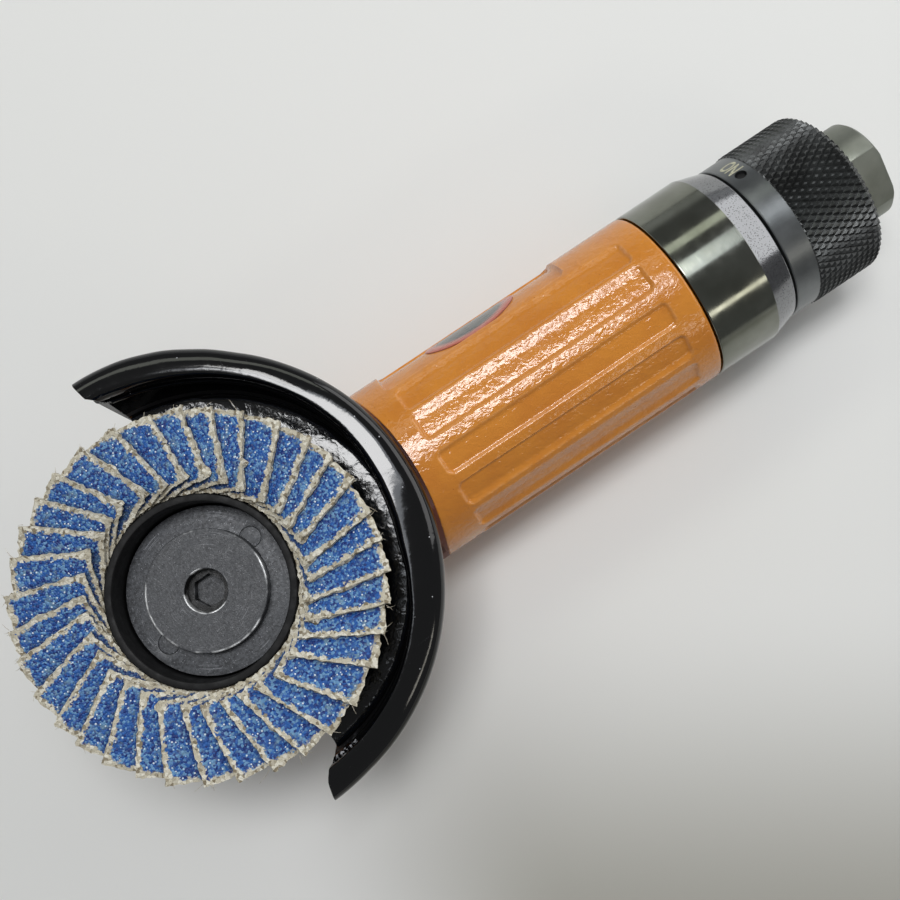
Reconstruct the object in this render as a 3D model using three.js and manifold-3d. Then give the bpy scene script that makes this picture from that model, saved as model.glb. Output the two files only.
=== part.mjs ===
// A pneumatic angle grinder with a roll throttle, a half guard and a 75 mm flap disc.
// Millimetres. The origin is on the spindle axis at the flat back of the angle head,
// +Z points up the spindle to the disc and +X runs along the barrel to the air inlet.
import * as THREE from 'three';
import { mergeVertices } from 'three/addons/utils/BufferGeometryUtils.js';
import Module from 'manifold-3d';

const wasm = await Module();
wasm.setup();

// Facets round a full turn, and angles.
const wideSteps = 36;
const middleSteps = 20;
const bearingSteps = 16;
const smallSteps = 12;
const holeSteps = 8;
const guardSteps = 48;
const cordSides = 5;
const hexSides = 6;
const edgeSteps = 3;
const fullTurn = 360;
const halfTurn = 180;
const quarterTurn = 90;

// Clearances, shared by every piece.
const gap = 0.3;
const overrun = 1;
const mergeTolerance = 0.00001;

// Barrel: the orange housing and the black rear collar.
const barrelRadius = 21;
const headLength = 43.5;
const housingLength = 73;
const housingFrontWall = 8.7;
const housingWall = 3.5;
const edgeChamfer = 0.5;
const fluteCount = 15;
const fluteWidth = 6.2;
const fluteDepth = 0.7;
const fluteFrontMargin = 10.3;
const fluteRearMargin = 5.7;
const flutePhase = 11.6;
const labelFlutes = [-3, -4];
const labelCentreAngle = -72.4;
const labelHalfAngle = 23.7;
const labelDepth = 1;
const labelFrontMargin = 8.9;
const labelRearMargin = 15.8;
const labelEndSlope = 3;
const badgeLength = 23;
const badgeMargin = 0.54;
const badgeThickness = 0.5;
const badgeShift = 0.65;
const collarLength = 14.6;
const collarConeLength = 5.9;
const collarConeDrop = 1.8;
const collarWall = 4.2;
const collarSpigotLength = 13.9;
const exhaustHoleCount = 6;
const exhaustHoleRadius = 1;
const exhaustHoleWall = 0.7;

// Angle head.
const headRadius = 17;
const headBackWall = 2.3;
const headShoulderStep = 0.4;
const headStemClearance = 0.6;
const neckRadius = 14.5;
const neckProud = 0.9;
const spigotRadius = 10;
const spigotLength = 5;
const chamberRadius = 10.7;
const chamberClearance = 0.49;
const headEdge = 1.8;
const stemStartShare = 0.94;

// Bearings: bore radius, outer radius and width.
const upperBearing = { bore: 5.3, outer: 11, width: 5 };
const lowerBearing = { bore: 3, outer: 6.5, width: 4.8 };
const pinionBearing = { bore: 4.3, outer: 8, width: 5 };
const rotorBearing = { bore: 4, outer: 8, width: 5 };
const raceRecess = 0.4;
const raceShare = 1 / 3;

// Bevel gears.
const pinionTeeth = 10;
const gearTeeth = 22;
const toothModule = 0.9;
const toothAddendum = 0.68;
const toothDedendum = 1.0;
const toothFaceShare = 0.3;
const toothRootShare = 0.3;
const toothTipShare = 0.13;
const gearRimDepth = 2.6;
const pinionRimDepth = 1.2;
const gearHubRadius = 7;
const gearHubClearance = 0.9;
const pinionTunnelRadius = 6;
const pinionShaftRadius = 4;
const pinionBearingStart = 18;
const pinionBearingInset = 0.5;
const pinionShaftReach = 1.5;
const couplingRadius = 2.3;
const couplingLength = 7.4;
const lockRingLength = 2;
const lockRingBore = 5;

// Spindle, flanges, disc and clamp screw.
const spindleRadius = 5;
const spindleFootRadius = 2.7;
const spindleNoseGap = 0.1;
const sealWidth = 1;
const nutHeight = 1.4;
const nutBoreMargin = 0.3;
const nutStep = 1;
const innerFlangeRadius = 13;
const innerFlangeThickness = 1.7;
const innerFlangeHub = 6.9;
const webThickness = 2;
const hubRingOuter = 19.4;
const hubRingWall = 1.6;
const hubRingHeight = 12.7;
const plateLift = 5.1;
const plateThickness = 1.8;
const plateInset = 3.5;
const flapCount = 35;
const flapRadius = 37.5;
const flapFaceHeight = 16.7;
const flapStep = 1.4;
const flapEdgeOffset = 9.5;
const flapPhase = 7.4;
const outerFlangeClearance = 0.5;
const outerFlangeThickness = 3;
const pinPocketRadius = 2.3;
const pinPocketInset = 3.8;
const pinPocketDepth = 1.2;
const pinPocketAngle = 19.3;
const screwHeadInset = 4.7;
const screwHeadThickness = 2.7;
const screwBossRadius = 5.5;
const screwShankRadius = 3;
const screwLength = 14.8;
const screwRecessRadius = 4.5;
const screwRecessDepth = 0.8;
const socketAcrossFlats = 6;
const socketDepth = 4.9;

// Guard and its clamp band.
const guardClearance = 4.7;
const guardThickness = 1.5;
const guardBendShare = 0.8;
const guardBeadHalfWidth = 3.25;
const guardBeadHalfHeight = 3.3;
const guardRimDrop = 7;
const guardBeadFrom = -115;
const guardBeadTo = 195;
const guardBeadSteps = 12;
const guardFootMargin = 1.7;
const guardHubRadius = 20;
const guardPlateEndAngle = 80.6;
const guardTipAngle = 90.3;
const bandThickness = 1.7;
const bandHeight = 4;
const bandSlot = 2;
const lugLength = 5.5;
const lugThickness = 2.2;
const lugScrewRadius = 1.2;
const lugScrewHead = 2.1;
const lugScrewHeadLength = 2.2;
const lugScrewSpare = 1.2;

// Air motor.
const linerWall = 3;
const linerOffset = 1.4;
const endPlateWall = 1.2;
const rotorClearance = 0.3;
const rotorJournal = 3.7;
const vaneCount = 4;
const vaneThickness = 1.6;
const vaneRootRadius = 6.5;
const dowelRadius = 1;
const dowelInset = 4;
const airPortRadius = 1.2;
const linerPortCount = 3;
const linerPortRadius = 1.5;
const washerThickness = 1.2;
const washerWidth = 3.8;
const ringSection = 0.45;
const ringGrooveDepth = 1.3;
const ringGrooveWidth = 1.7;
const collarRingMargin = 4;

// Roll throttle and inlet.
const sleeveGap = 0.5;
const bandLength = 5.9;
const bandDrop = 1.85;
const knurlLength = 17;
const knurlDrop = 1.5;
const knurlEdge = 1.2;
const journalStep = 1.3;
const bushingInsert = 17.3;
const bossStep = 2.4;
const bossLength = 9.7;
const bossGrooveDepth = 0.7;
const bossGrooveStart = 0.4;
const bossGrooveWidth = 1.2;
const flatStep = 1.85;
const flatLength = 7.2;
const flatAngle = 27.6;
const inletRadius = 5.8;
const inletDepth = 14.7;
const inletWall = 3;
const inletNeckRadius = 3;
const chamberShare = 0.63;
const seatWall = 3;
const seatBoreShare = 0.625;
const seatLength = 5.4;
const valveHeadClearance = 1;
const valveHeadLength = 3;
const valveFaceGap = 2;
const valveWaistStep = 1;
const valveWaistLength = 6;
const valveLength = 17.6;
const valveWall = 2.8;
const valveBoreDepth = 11.1;
const valvePortRadius = 1;
const valveTravel = 2.5;
const throttleTurn = 60;
const drivePinRadius = 1;
const drivePinAngle = -37;
const drivePinMargin = 3.2;
const drivePinSink = 0.55;
const camDepth = 1.8;
const camSteps = 8;
const faceRingSection = 0.7;
const faceRingMargin = 0.6;
const sleeveRingMargins = [8.7, 17.7];
const sleeveRingSection = 0.6;
const sleeveRingGroove = 1.5;
const springCoils = 6;
const springWire = 0.45;
const springMargin = 1;
const springStepsPerCoil = 10;
const snapRingProud = 1.6;
const snapRingSink = 1.1;
const snapRingThickness = 1;
const snapRingMargin = 0.6;
const snapRingOpening = 6;
const counterboreClearance = 0.6;
const screenThickness = 0.8;
const screenHoleCount = 6;
const screenHoleRadius = 0.9;
const screenHoleCircle = 3.2;

// Radii about the barrel axis.
const boreRadius = barrelRadius - housingWall;
const motorRadius = boreRadius - gap;
const linerBore = motorRadius - linerWall;
const rotorRadius = linerBore - linerOffset - rotorClearance;
const vaneHeight = rotorRadius - vaneRootRadius;
const dowelCircle = motorRadius - (linerWall + linerOffset) / 2;
const washerBore = motorRadius - washerWidth;
const collarBore = motorRadius - collarWall;
const collarConeRadius = barrelRadius - collarConeDrop;
const exhaustCircleRadius = collarBore + exhaustHoleWall + exhaustHoleRadius;
const bandOuter = barrelRadius - bandDrop;
const knurlOuter = barrelRadius - knurlDrop;
const bushingRadius = collarBore - gap;
const journalRadius = bushingRadius + journalStep;
const bossRadius = journalRadius - bossStep;
const flatDistance = bossRadius - flatStep;
const seatOuter = bushingRadius - seatWall;
const snapRingRadius = journalRadius + snapRingProud;
const snapRingBore = journalRadius - snapRingSink;
const counterboreRadius = snapRingRadius + counterboreClearance;
const valveChamber = bushingRadius * chamberShare;
const seatBore = valveChamber * seatBoreShare;
const faceRingRadius = seatBore + faceRingMargin;
const valveHeadRadius = valveChamber - valveHeadClearance;
const valveWaist = valveHeadRadius - valveWaistStep;
const valveGuideRadius = valveChamber - gap;
const valveBore = valveGuideRadius - valveWall;
const springRadius = valveBore - springMargin;

// Radii about the spindle axis.
const bandRadius = neckRadius + gap + bandThickness;
const nutInnerRadius = innerFlangeHub + gap + sealWidth + nutBoreMargin;
const nutRadius = upperBearing.outer + gap + nutStep;
const hubRingInner = hubRingOuter - hubRingWall;
const plateRadius = flapRadius - plateInset;
const flapInner = hubRingOuter + gap;
const outerFlangeRadius = hubRingInner - outerFlangeClearance;
const outerFlangeBore = screwBossRadius + gap;
const pinPocketCircle = outerFlangeRadius - pinPocketInset;
const screwHeadRadius = outerFlangeRadius - screwHeadInset;
const guardRadius = flapRadius + guardClearance + 2 * guardBeadHalfWidth;
const guardWallFoot = flapRadius + guardFootMargin;

// Stations along the barrel, from the spindle axis.
const housingFront = headLength + gap;
const housingRear = housingFront + housingLength;
const boreFront = housingFront + housingFrontWall;
const pinionBearingEnd = headLength - pinionBearingInset;
const pinionShaftEnd = headLength + pinionShaftReach;
const labelStart = housingFront + labelFrontMargin;
const labelEnd = housingRear - labelRearMargin - labelEndSlope;
const badgeCentre = (labelStart + labelEnd) / 2 + badgeShift;
const labelHalfWidth = (barrelRadius - labelDepth) * Math.sin(radians(labelHalfAngle));
const badgeHeight = 2 * (labelHalfWidth - badgeMargin);
const collarStart = housingRear + gap;
const coneStart = collarStart + collarLength;
const collarEnd = coneStart + collarConeLength;
const spigotStart = collarStart - collarSpigotLength;
const washerStart = spigotStart - gap - washerThickness;
const endPlateLength = rotorBearing.width + gap + endPlateWall;
const frontPlateStart = boreFront + gap;
const frontPlateEnd = frontPlateStart + endPlateLength;
const rearPlateEnd = washerStart - gap;
const rearPlateStart = rearPlateEnd - endPlateLength;
const linerStart = frontPlateEnd + gap;
const linerEnd = rearPlateStart - gap;
const sleeveStart = collarEnd + sleeveGap;
const knurlStart = sleeveStart + bandLength;
const sleeveEnd = knurlStart + knurlLength;
const bossEnd = sleeveEnd + bossLength;
const bushingStart = collarEnd - bushingInsert;
const journalStart = collarEnd + gap;
const journalEnd = sleeveEnd - gap;
const seatStart = bushingStart + gap;
const seatEnd = seatStart + seatLength;
const valveStart = seatEnd + valveFaceGap;
const valveEnd = valveStart + valveLength;
const inletFloor = bossEnd - inletDepth;
const chamberEnd = inletFloor - inletWall;
const drivePinStation = sleeveStart + drivePinMargin;
const snapRingStation = journalEnd - snapRingMargin - snapRingThickness;

// Heights up the spindle, from the flat back of the head.
const pinionHeel = heelOf(pinionTeeth, gearTeeth);
const pinionTip = Math.atan2(pinionTeeth, gearTeeth) + Math.atan2(toothAddendum, pinionHeel);
const pinionTipRadius = pinionHeel * Math.sin(pinionTip);
const lowerBearingBase = headBackWall + gap;
const lowerBearingTop = lowerBearingBase + lowerBearing.width;
const gearHubDepth = barrelRadius - lowerBearingTop - gearHubClearance;
const upperBearingBase = barrelRadius + pinionTipRadius + chamberClearance + gap;
const upperBearingTop = upperBearingBase + upperBearing.width;
const nutBase = upperBearingTop + gap;
const neckHeight = nutBase + nutHeight + gap;
const guardPlateBase = neckHeight - neckProud;
const headTopHeight = guardPlateBase - headStemClearance;
const headTopRise = headTopHeight - barrelRadius;
const bandTop = guardPlateBase - gap;
const shoulderHeight = bandTop - bandHeight - headShoulderStep;
const innerFlangeBase = neckHeight + gap;
const innerFlangeTop = innerFlangeBase + innerFlangeThickness;
const webBase = innerFlangeTop + gap;
const webTop = webBase + webThickness;
const outerFlangeBase = webTop + gap;
const outerFlangeTop = outerFlangeBase + outerFlangeThickness;
const screwHeadBase = outerFlangeTop + gap;
const screwHeadTop = screwHeadBase + screwHeadThickness;
const spindleTop = outerFlangeBase - spindleNoseGap;
const screwBossBase = outerFlangeBase + gap;
const flapFace = webBase + flapFaceHeight;
const plateTop = webBase + plateLift + plateThickness;
const guardRim = flapFace - guardRimDrop;

// Materials.
const orangePaint = finish(0xc87d32, 0.32, 0.1);
const blackPaint = finish(0x0c0d10, 0.15, 0.1);
const blackSteel = finish(0x1b1b1d, 0.35, 0.8);
const speckledBlack = finish(0x2e2f31, 0.55, 0.6);
const blackPlastic = finish(0x151515, 0.5, 0);
const abrasiveCloth = finish(0x2f5fa8, 0.9, 0);
const bareSteel = finish(0x9a9da1, 0.3, 1);
const aluminium = finish(0xb4b7ba, 0.4, 1);
const brass = finish(0xb08d3e, 0.35, 1);
const rubber = finish(0x101010, 0.8, 0);
const vaneComposite = finish(0x5a3a22, 0.7, 0);
const badgeEnamel = finish(0x3a3d42, 0.3, 0.2);

function finish(color, roughness, metalness) {
  return new THREE.MeshStandardMaterial({ color, roughness, metalness });
}

// Six times the signed volume, which is negative when the faces point in.
function signedVolume(positions, corners) {
  const a = new THREE.Vector3();
  const b = new THREE.Vector3();
  const c = new THREE.Vector3();
  let total = 0;
  for (let i = 0; i < corners.length; i += 3) {
    a.fromArray(positions, corners[i] * 3);
    b.fromArray(positions, corners[i + 1] * 3);
    c.fromArray(positions, corners[i + 2] * 3);
    total += a.dot(b.cross(c));
  }
  return total;
}

// A closed solid from a three.js geometry, with its faces pointing out.
function solidOf(geometry) {
  const bare = new THREE.BufferGeometry();
  bare.setAttribute('position', geometry.getAttribute('position'));
  bare.setIndex(geometry.index);
  const merged = mergeVertices(bare, mergeTolerance);
  const positions = merged.getAttribute('position').array;
  const index = merged.index.array;
  const corners = [];
  for (let i = 0; i < index.length; i += 3) {
    const [a, b, c] = [index[i], index[i + 1], index[i + 2]];
    if (a !== b && b !== c && c !== a) {
      corners.push(a, b, c);
    }
  }
  if (signedVolume(positions, corners) < 0) {
    corners.reverse();
  }
  const vertProperties = Float32Array.from(positions);
  const triVerts = Uint32Array.from(corners);
  return new wasm.Manifold(new wasm.Mesh({ numProp: 3, vertProperties, triVerts }));
}

function geometryOf(solid) {
  const mesh = solid.getMesh();
  const geometry = new THREE.BufferGeometry();
  geometry.setAttribute('position', new THREE.BufferAttribute(mesh.vertProperties, 3));
  geometry.setIndex(new THREE.BufferAttribute(mesh.triVerts, 1));
  return geometry;
}

function cut(base, ...tools) {
  const rest = tools.reduce((left, tool) => left.subtract(solidOf(tool)), solidOf(base));
  return geometryOf(rest);
}

function join(base, ...others) {
  const whole = others.reduce((sum, other) => sum.add(solidOf(other)), solidOf(base));
  return geometryOf(whole);
}

function common(base, other) {
  return geometryOf(solidOf(base).intersect(solidOf(other)));
}

function radians(degrees) {
  return THREE.MathUtils.degToRad(degrees);
}

// A profile that stays off the axis closes on itself.
function closedProfile(points) {
  const ends = [points[0], points[points.length - 1]];
  return ends.every((point) => point.x === 0) ? points : [...points, points[0].clone()];
}

// Turned about the spindle: pairs of radius and height.
function turnedZ(profile, steps) {
  const points = profile.map(([radius, height]) => new THREE.Vector2(radius, height));
  return new THREE.LatheGeometry(closedProfile(points), steps).rotateX(radians(quarterTurn));
}

// Turned about the barrel: pairs of station and radius.
function turnedX(profile, steps) {
  const points = profile.map(([station, radius]) => new THREE.Vector2(radius, station));
  return new THREE.LatheGeometry(closedProfile(points), steps).rotateZ(-radians(quarterTurn));
}

function barZ(radius, low, high, steps) {
  return turnedZ([[0, low], [radius, low], [radius, high], [0, high]], steps);
}

function barX(radius, start, end, steps) {
  return turnedX([[start, 0], [start, radius], [end, radius], [end, 0]], steps);
}

function ringX(start, end, inner, outer, steps) {
  return turnedX([[start, inner], [start, outer], [end, outer], [end, inner]], steps);
}

function ringZ(low, high, inner, outer, steps) {
  return turnedZ([[inner, low], [outer, low], [outer, high], [inner, high]], steps);
}

function block(low, high) {
  const size = high.map((value, axis) => value - low[axis]);
  const middle = high.map((value, axis) => (value + low[axis]) / 2);
  return new THREE.BoxGeometry(...size).translate(...middle);
}

// A pin that stands out from the barrel axis, leaned by an angle from the top.
function radialPin(radius, station, inner, outer, angle, steps) {
  return barZ(radius, inner, outer, steps).translate(station, 0, 0).rotateX(radians(angle));
}

// A wedge along the barrel that keeps what lies within an angle of the top.
function barrelWedge(start, end, reach, halfAngle) {
  const side = reach * Math.sin(radians(halfAngle));
  const top = reach * Math.cos(radians(halfAngle));
  const outline = new THREE.Shape([
    new THREE.Vector2(0, 0),
    new THREE.Vector2(side, top),
    new THREE.Vector2(0, reach),
    new THREE.Vector2(-side, top),
  ]);
  const wedge = new THREE.ExtrudeGeometry(outline, { depth: end - start, bevelEnabled: false });
  return wedge.rotateX(radians(quarterTurn)).rotateZ(radians(quarterTurn)).translate(start, 0, 0);
}

function arcPoints(centre, halfWidth, halfHeight, from, to, count) {
  return Array.from({ length: count + 1 }, (_, i) => {
    const angle = radians(from + ((to - from) * i) / count);
    return [centre[0] + halfWidth * Math.cos(angle), centre[1] + halfHeight * Math.sin(angle)];
  });
}

function torusX(station, radius, section) {
  const ring = new THREE.TorusGeometry(radius, section, cordSides, middleSteps);
  return ring.rotateY(radians(quarterTurn)).translate(station, 0, 0);
}

// A bearing stands for its races and balls, with a shallow recess between the races.
function bearingProfile({ bore, outer, width }) {
  const innerRace = bore + (outer - bore) * raceShare;
  const outerRace = outer - (outer - bore) * raceShare;
  return [
    [bore, 0], [outer, 0], [outer, width], [outerRace, width], [outerRace, width - raceRecess],
    [innerRace, width - raceRecess], [innerRace, width], [bore, width],
  ];
}

function bearingZ(bearing, base) {
  return turnedZ(bearingProfile(bearing), bearingSteps).translate(0, 0, base);
}

function bearingX(bearing, start) {
  const profile = bearingProfile(bearing).map(([radius, along]) => [along, radius]);
  return turnedX(profile, bearingSteps).translate(start, 0, 0);
}

// The outer form of the head: an upright barrel and neck, and the flared stem behind it.
function headBlank() {
  const upright = turnedZ([
    [0, 0], [headRadius - headEdge, 0], [headRadius, headEdge], [headRadius, shoulderHeight],
    [neckRadius, shoulderHeight], [neckRadius, neckHeight], [0, neckHeight],
  ], wideSteps);
  const stemStart = headRadius * stemStartShare;
  const flareShares = [[0.3, 0.1], [0.6, 0.35], [0.8, 0.7], [0.88, 0.92], [0.94, 1]];
  const flare = flareShares.map(([along, out]) => [
    headLength * along,
    stemStart + (barrelRadius - stemStart) * out,
  ]);
  const stem = turnedX([
    [0, 0], [0, stemStart], ...flare, [headLength, barrelRadius],
    [headLength, spigotRadius], [headLength + spigotLength, spigotRadius],
    [headLength + spigotLength, 0],
  ], wideSteps).translate(0, 0, barrelRadius);
  const reach = headLength + overrun;
  const top = block(
    [-reach, -reach, headTopHeight],
    [reach + spigotLength, reach, headTopHeight + reach],
  );
  const relief = barZ(headRadius + gap, shoulderHeight, headTopHeight + overrun, wideSteps);
  return join(upright, cut(stem, top, relief));
}

function angleHead() {
  const upperBore = upperBearing.outer + gap;
  const stemBore = pinionBearing.outer + gap;
  const chamberBase = lowerBearingTop + gap;
  return cut(
    headBlank(),
    barZ(lowerBearing.outer + gap, headBackWall, chamberBase + overrun, middleSteps),
    barZ(chamberRadius, chamberBase, upperBearingBase, middleSteps),
    barZ(upperBore, upperBearingBase - gap, upperBearingTop, middleSteps),
    barZ(nutRadius + gap, upperBearingTop, neckHeight + overrun, middleSteps),
    barX(pinionTunnelRadius, 0, pinionBearingStart, middleSteps).translate(0, 0, barrelRadius),
    barX(stemBore, pinionBearingStart - gap, headLength + spigotLength + overrun, middleSteps)
      .translate(0, 0, barrelRadius),
  );
}

// The top of the housing falls away to the head, so that the guard can pass over it.
function shoulderScoop() {
  const reach = barrelRadius + overrun;
  const scoopShares = [[0.37, 0], [0.55, 0.22], [0.7, 0.5], [0.8, 0.76], [0.86, 1], [0.9, 1.3]];
  const slope = scoopShares.map(([along, up]) => new THREE.Vector2(
    housingFront + housingFrontWall * along,
    headTopRise + (barrelRadius - headTopRise) * up,
  ));
  const outline = new THREE.Shape([
    new THREE.Vector2(housingFront - overrun, headTopRise),
    ...slope,
    new THREE.Vector2(housingFront - overrun, slope[slope.length - 1].y),
  ]);
  const scoop = new THREE.ExtrudeGeometry(outline, { depth: 2 * reach, bevelEnabled: false });
  return scoop.rotateX(radians(quarterTurn)).translate(0, reach, 0);
}

function fluteTools() {
  const tools = [];
  for (let k = 0; k < fluteCount; k += 1) {
    const angle = flutePhase + (fullTurn / fluteCount) * k;
    const turns = k - fluteCount;
    if (!labelFlutes.includes(turns)) {
      tools.push(block(
        [housingFront + fluteFrontMargin, -fluteWidth / 2, barrelRadius - fluteDepth],
        [housingRear - fluteRearMargin, fluteWidth / 2, barrelRadius + overrun],
      ).rotateX(radians(angle)));
    }
  }
  return tools;
}

function labelRecess() {
  const floor = barrelRadius - labelDepth;
  const rim = barrelRadius + overrun;
  const ring = turnedX([
    [labelStart, floor], [labelStart, rim], [labelEnd + labelEndSlope, rim], [labelEnd, floor],
  ], wideSteps);
  const wedgeEnd = labelEnd + labelEndSlope + overrun;
  const wedge = barrelWedge(labelStart - overrun, wedgeEnd, 2 * rim, labelHalfAngle);
  return common(ring, wedge).rotateX(radians(labelCentreAngle));
}

function motorHousing() {
  const tube = turnedX([
    [housingFront, spigotRadius + gap], [housingFront, barrelRadius - edgeChamfer],
    [housingFront + edgeChamfer, barrelRadius], [housingRear - edgeChamfer, barrelRadius],
    [housingRear, barrelRadius - edgeChamfer], [housingRear, boreRadius], [boreFront, boreRadius],
    [boreFront, spigotRadius + gap],
  ], wideSteps);
  return cut(tube, shoulderScoop(), labelRecess(), ...fluteTools());
}

// An oval plate, bent to the floor of the label recess.
function badge() {
  const inner = barrelRadius - labelDepth + gap;
  const shell = ringX(housingFront, housingRear, inner, inner + badgeThickness, wideSteps);
  const oval = barZ(badgeHeight / 2, 0, barrelRadius + overrun, middleSteps);
  oval.scale(badgeLength / badgeHeight, 1, 1).translate(badgeCentre, 0, 0);
  return common(shell, oval).rotateX(radians(labelCentreAngle));
}

function rearCollar() {
  const ringStation = collarStart - collarRingMargin;
  const grooveFloor = motorRadius - ringGrooveDepth + gap;
  const blank = turnedX([
    [spigotStart, collarBore], [spigotStart, motorRadius],
    [ringStation - ringGrooveWidth / 2, motorRadius], [ringStation - ringGrooveWidth / 2, grooveFloor],
    [ringStation + ringGrooveWidth / 2, grooveFloor], [ringStation + ringGrooveWidth / 2, motorRadius],
    [collarStart, motorRadius], [collarStart, barrelRadius - edgeChamfer],
    [collarStart + edgeChamfer, barrelRadius], [coneStart, barrelRadius],
    [collarEnd, collarConeRadius], [collarEnd, collarBore],
  ], wideSteps);
  const holes = Array.from({ length: exhaustHoleCount }, (_, i) => (
    barX(exhaustHoleRadius, spigotStart - overrun, collarEnd + overrun, holeSteps)
      .translate(0, 0, exhaustCircleRadius)
      .rotateX(radians((fullTurn / exhaustHoleCount) * i))
  ));
  return cut(blank, ...holes);
}

function collarRing() {
  const grooveFloor = motorRadius - ringGrooveDepth + gap;
  return torusX(collarStart - collarRingMargin, grooveFloor + gap + ringSection, ringSection);
}

// The length of the pitch cone's side.
function heelOf(teeth, mateTeeth) {
  return (toothModule * Math.hypot(teeth, mateTeeth)) / 2;
}

// Straight bevel teeth about +Z with the apex at the origin, on a rim with a flat back.
function bevelTeeth(teeth, mateTeeth, phaseShare, backStation) {
  const pitchAngle = Math.atan2(teeth, mateTeeth);
  const heel = heelOf(teeth, mateTeeth);
  const toe = heel * (1 - toothFaceShare);
  const tip = pitchAngle + Math.atan2(toothAddendum, heel);
  const root = pitchAngle - Math.atan2(toothDedendum, heel);
  const pitch = (2 * Math.PI) / teeth;
  const places = [
    [root, -toothRootShare], [tip, -toothTipShare], [tip, toothTipShare], [root, toothRootShare],
  ];
  const positions = [];
  const rimOut = heel * Math.sin(root);
  const loops = [
    (lean) => [toe * Math.sin(lean), toe * Math.cos(lean)],
    (lean) => [heel * Math.sin(lean), heel * Math.cos(lean)],
    () => [rimOut, backStation],
  ];
  for (const loopPoint of loops) {
    for (let tooth = 0; tooth < teeth; tooth += 1) {
      for (const [lean, share] of places) {
        const angle = pitch * (tooth + share + phaseShare);
        const [out, along] = loopPoint(lean);
        positions.push(out * Math.cos(angle), out * Math.sin(angle), along);
      }
    }
  }
  positions.push(0, 0, toe * Math.cos(root), 0, 0, backStation);
  const loop = teeth * places.length;
  const toeCentre = loops.length * loop;
  const backStart = toeCentre - loop;
  const index = [];
  for (let i = 0; i < loop; i += 1) {
    const next = (i + 1) % loop;
    for (let start = 0; start < backStart; start += loop) {
      const [near, nearNext] = [i + start, next + start];
      index.push(near, nearNext, nearNext + loop, near, nearNext + loop, near + loop);
    }
    index.push(toeCentre, next, i, toeCentre + 1, backStart + i, backStart + next);
  }
  const geometry = new THREE.BufferGeometry();
  geometry.setAttribute('position', new THREE.Float32BufferAttribute(positions, 3));
  geometry.setIndex(index);
  return geometry;
}

function heelStation(teeth, mateTeeth) {
  const heel = heelOf(teeth, mateTeeth);
  return heel * Math.cos(Math.atan2(teeth, mateTeeth) - Math.atan2(toothDedendum, heel));
}

// The driven gear hangs below the crossing of the axes, with its teeth up to the pinion.
function bevelGear() {
  const rimBack = heelStation(gearTeeth, pinionTeeth) + gearRimDepth;
  const hub = barZ(gearHubRadius, rimBack - gearRimDepth / 2, gearHubDepth, middleSteps);
  const whole = join(bevelTeeth(gearTeeth, pinionTeeth, 1 / 2, rimBack), hub);
  const bored = cut(whole, barZ(upperBearing.bore, 0, gearHubDepth + overrun, middleSteps));
  return bored.rotateX(radians(halfTurn)).translate(0, 0, barrelRadius);
}

function bevelPinion() {
  const rimBack = heelStation(pinionTeeth, gearTeeth) + pinionRimDepth;
  const shaft = barZ(pinionShaftRadius, rimBack - pinionRimDepth / 2, pinionShaftEnd, middleSteps);
  const socketFloor = pinionShaftEnd - couplingLength - gap;
  const socket = barZ(couplingRadius + gap, socketFloor, pinionShaftEnd + overrun, hexSides);
  const whole = cut(join(bevelTeeth(pinionTeeth, gearTeeth, 0, rimBack), shaft), socket);
  return whole.rotateY(radians(quarterTurn));
}

function rearPinionBearing() {
  return bearingX(pinionBearing, pinionBearingEnd - pinionBearing.width);
}

function pinionSpacer() {
  const start = pinionBearingStart + pinionBearing.width + gap;
  const end = pinionBearingEnd - pinionBearing.width - gap;
  return ringX(start, end, pinionBearing.bore + gap, pinionBearing.outer, middleSteps);
}

function pinionLockRing() {
  const start = pinionBearingEnd + gap;
  return ringX(start, start + lockRingLength, lockRingBore, pinionBearing.outer, middleSteps);
}

function spindle() {
  const footEnd = lowerBearingTop + gap;
  const blank = turnedZ([
    [0, lowerBearingBase], [spindleFootRadius, lowerBearingBase], [spindleFootRadius, footEnd],
    [spindleRadius, footEnd], [spindleRadius, spindleTop], [0, spindleTop],
  ], middleSteps);
  const holeBase = screwHeadBase - screwLength - gap;
  return cut(blank, barZ(screwShankRadius + gap, holeBase, spindleTop + overrun, smallSteps));
}

function retainerNut() {
  return ringZ(nutBase, neckHeight - gap, nutInnerRadius, nutRadius, middleSteps);
}

function spindleSeal() {
  const inner = innerFlangeHub + gap;
  return ringZ(nutBase, neckHeight - gap, inner, inner + sealWidth, middleSteps);
}

function innerFlange() {
  return turnedZ([
    [upperBearing.bore, nutBase], [innerFlangeHub, nutBase], [innerFlangeHub, innerFlangeBase],
    [innerFlangeRadius, innerFlangeBase], [innerFlangeRadius, innerFlangeTop],
    [upperBearing.bore, innerFlangeTop],
  ], middleSteps);
}

function backingPlate() {
  const ringTop = webBase + hubRingHeight;
  return turnedZ([
    [upperBearing.bore, webBase], [hubRingOuter, webBase], [hubRingOuter, webBase + plateLift],
    [plateRadius, webBase + plateLift], [plateRadius, plateTop], [hubRingOuter, plateTop],
    [hubRingOuter, ringTop - edgeChamfer], [hubRingOuter - edgeChamfer, ringTop],
    [hubRingInner + edgeChamfer, ringTop], [hubRingInner, ringTop - edgeChamfer],
    [hubRingInner, webTop], [upperBearing.bore, webTop],
  ], wideSteps);
}

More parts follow.
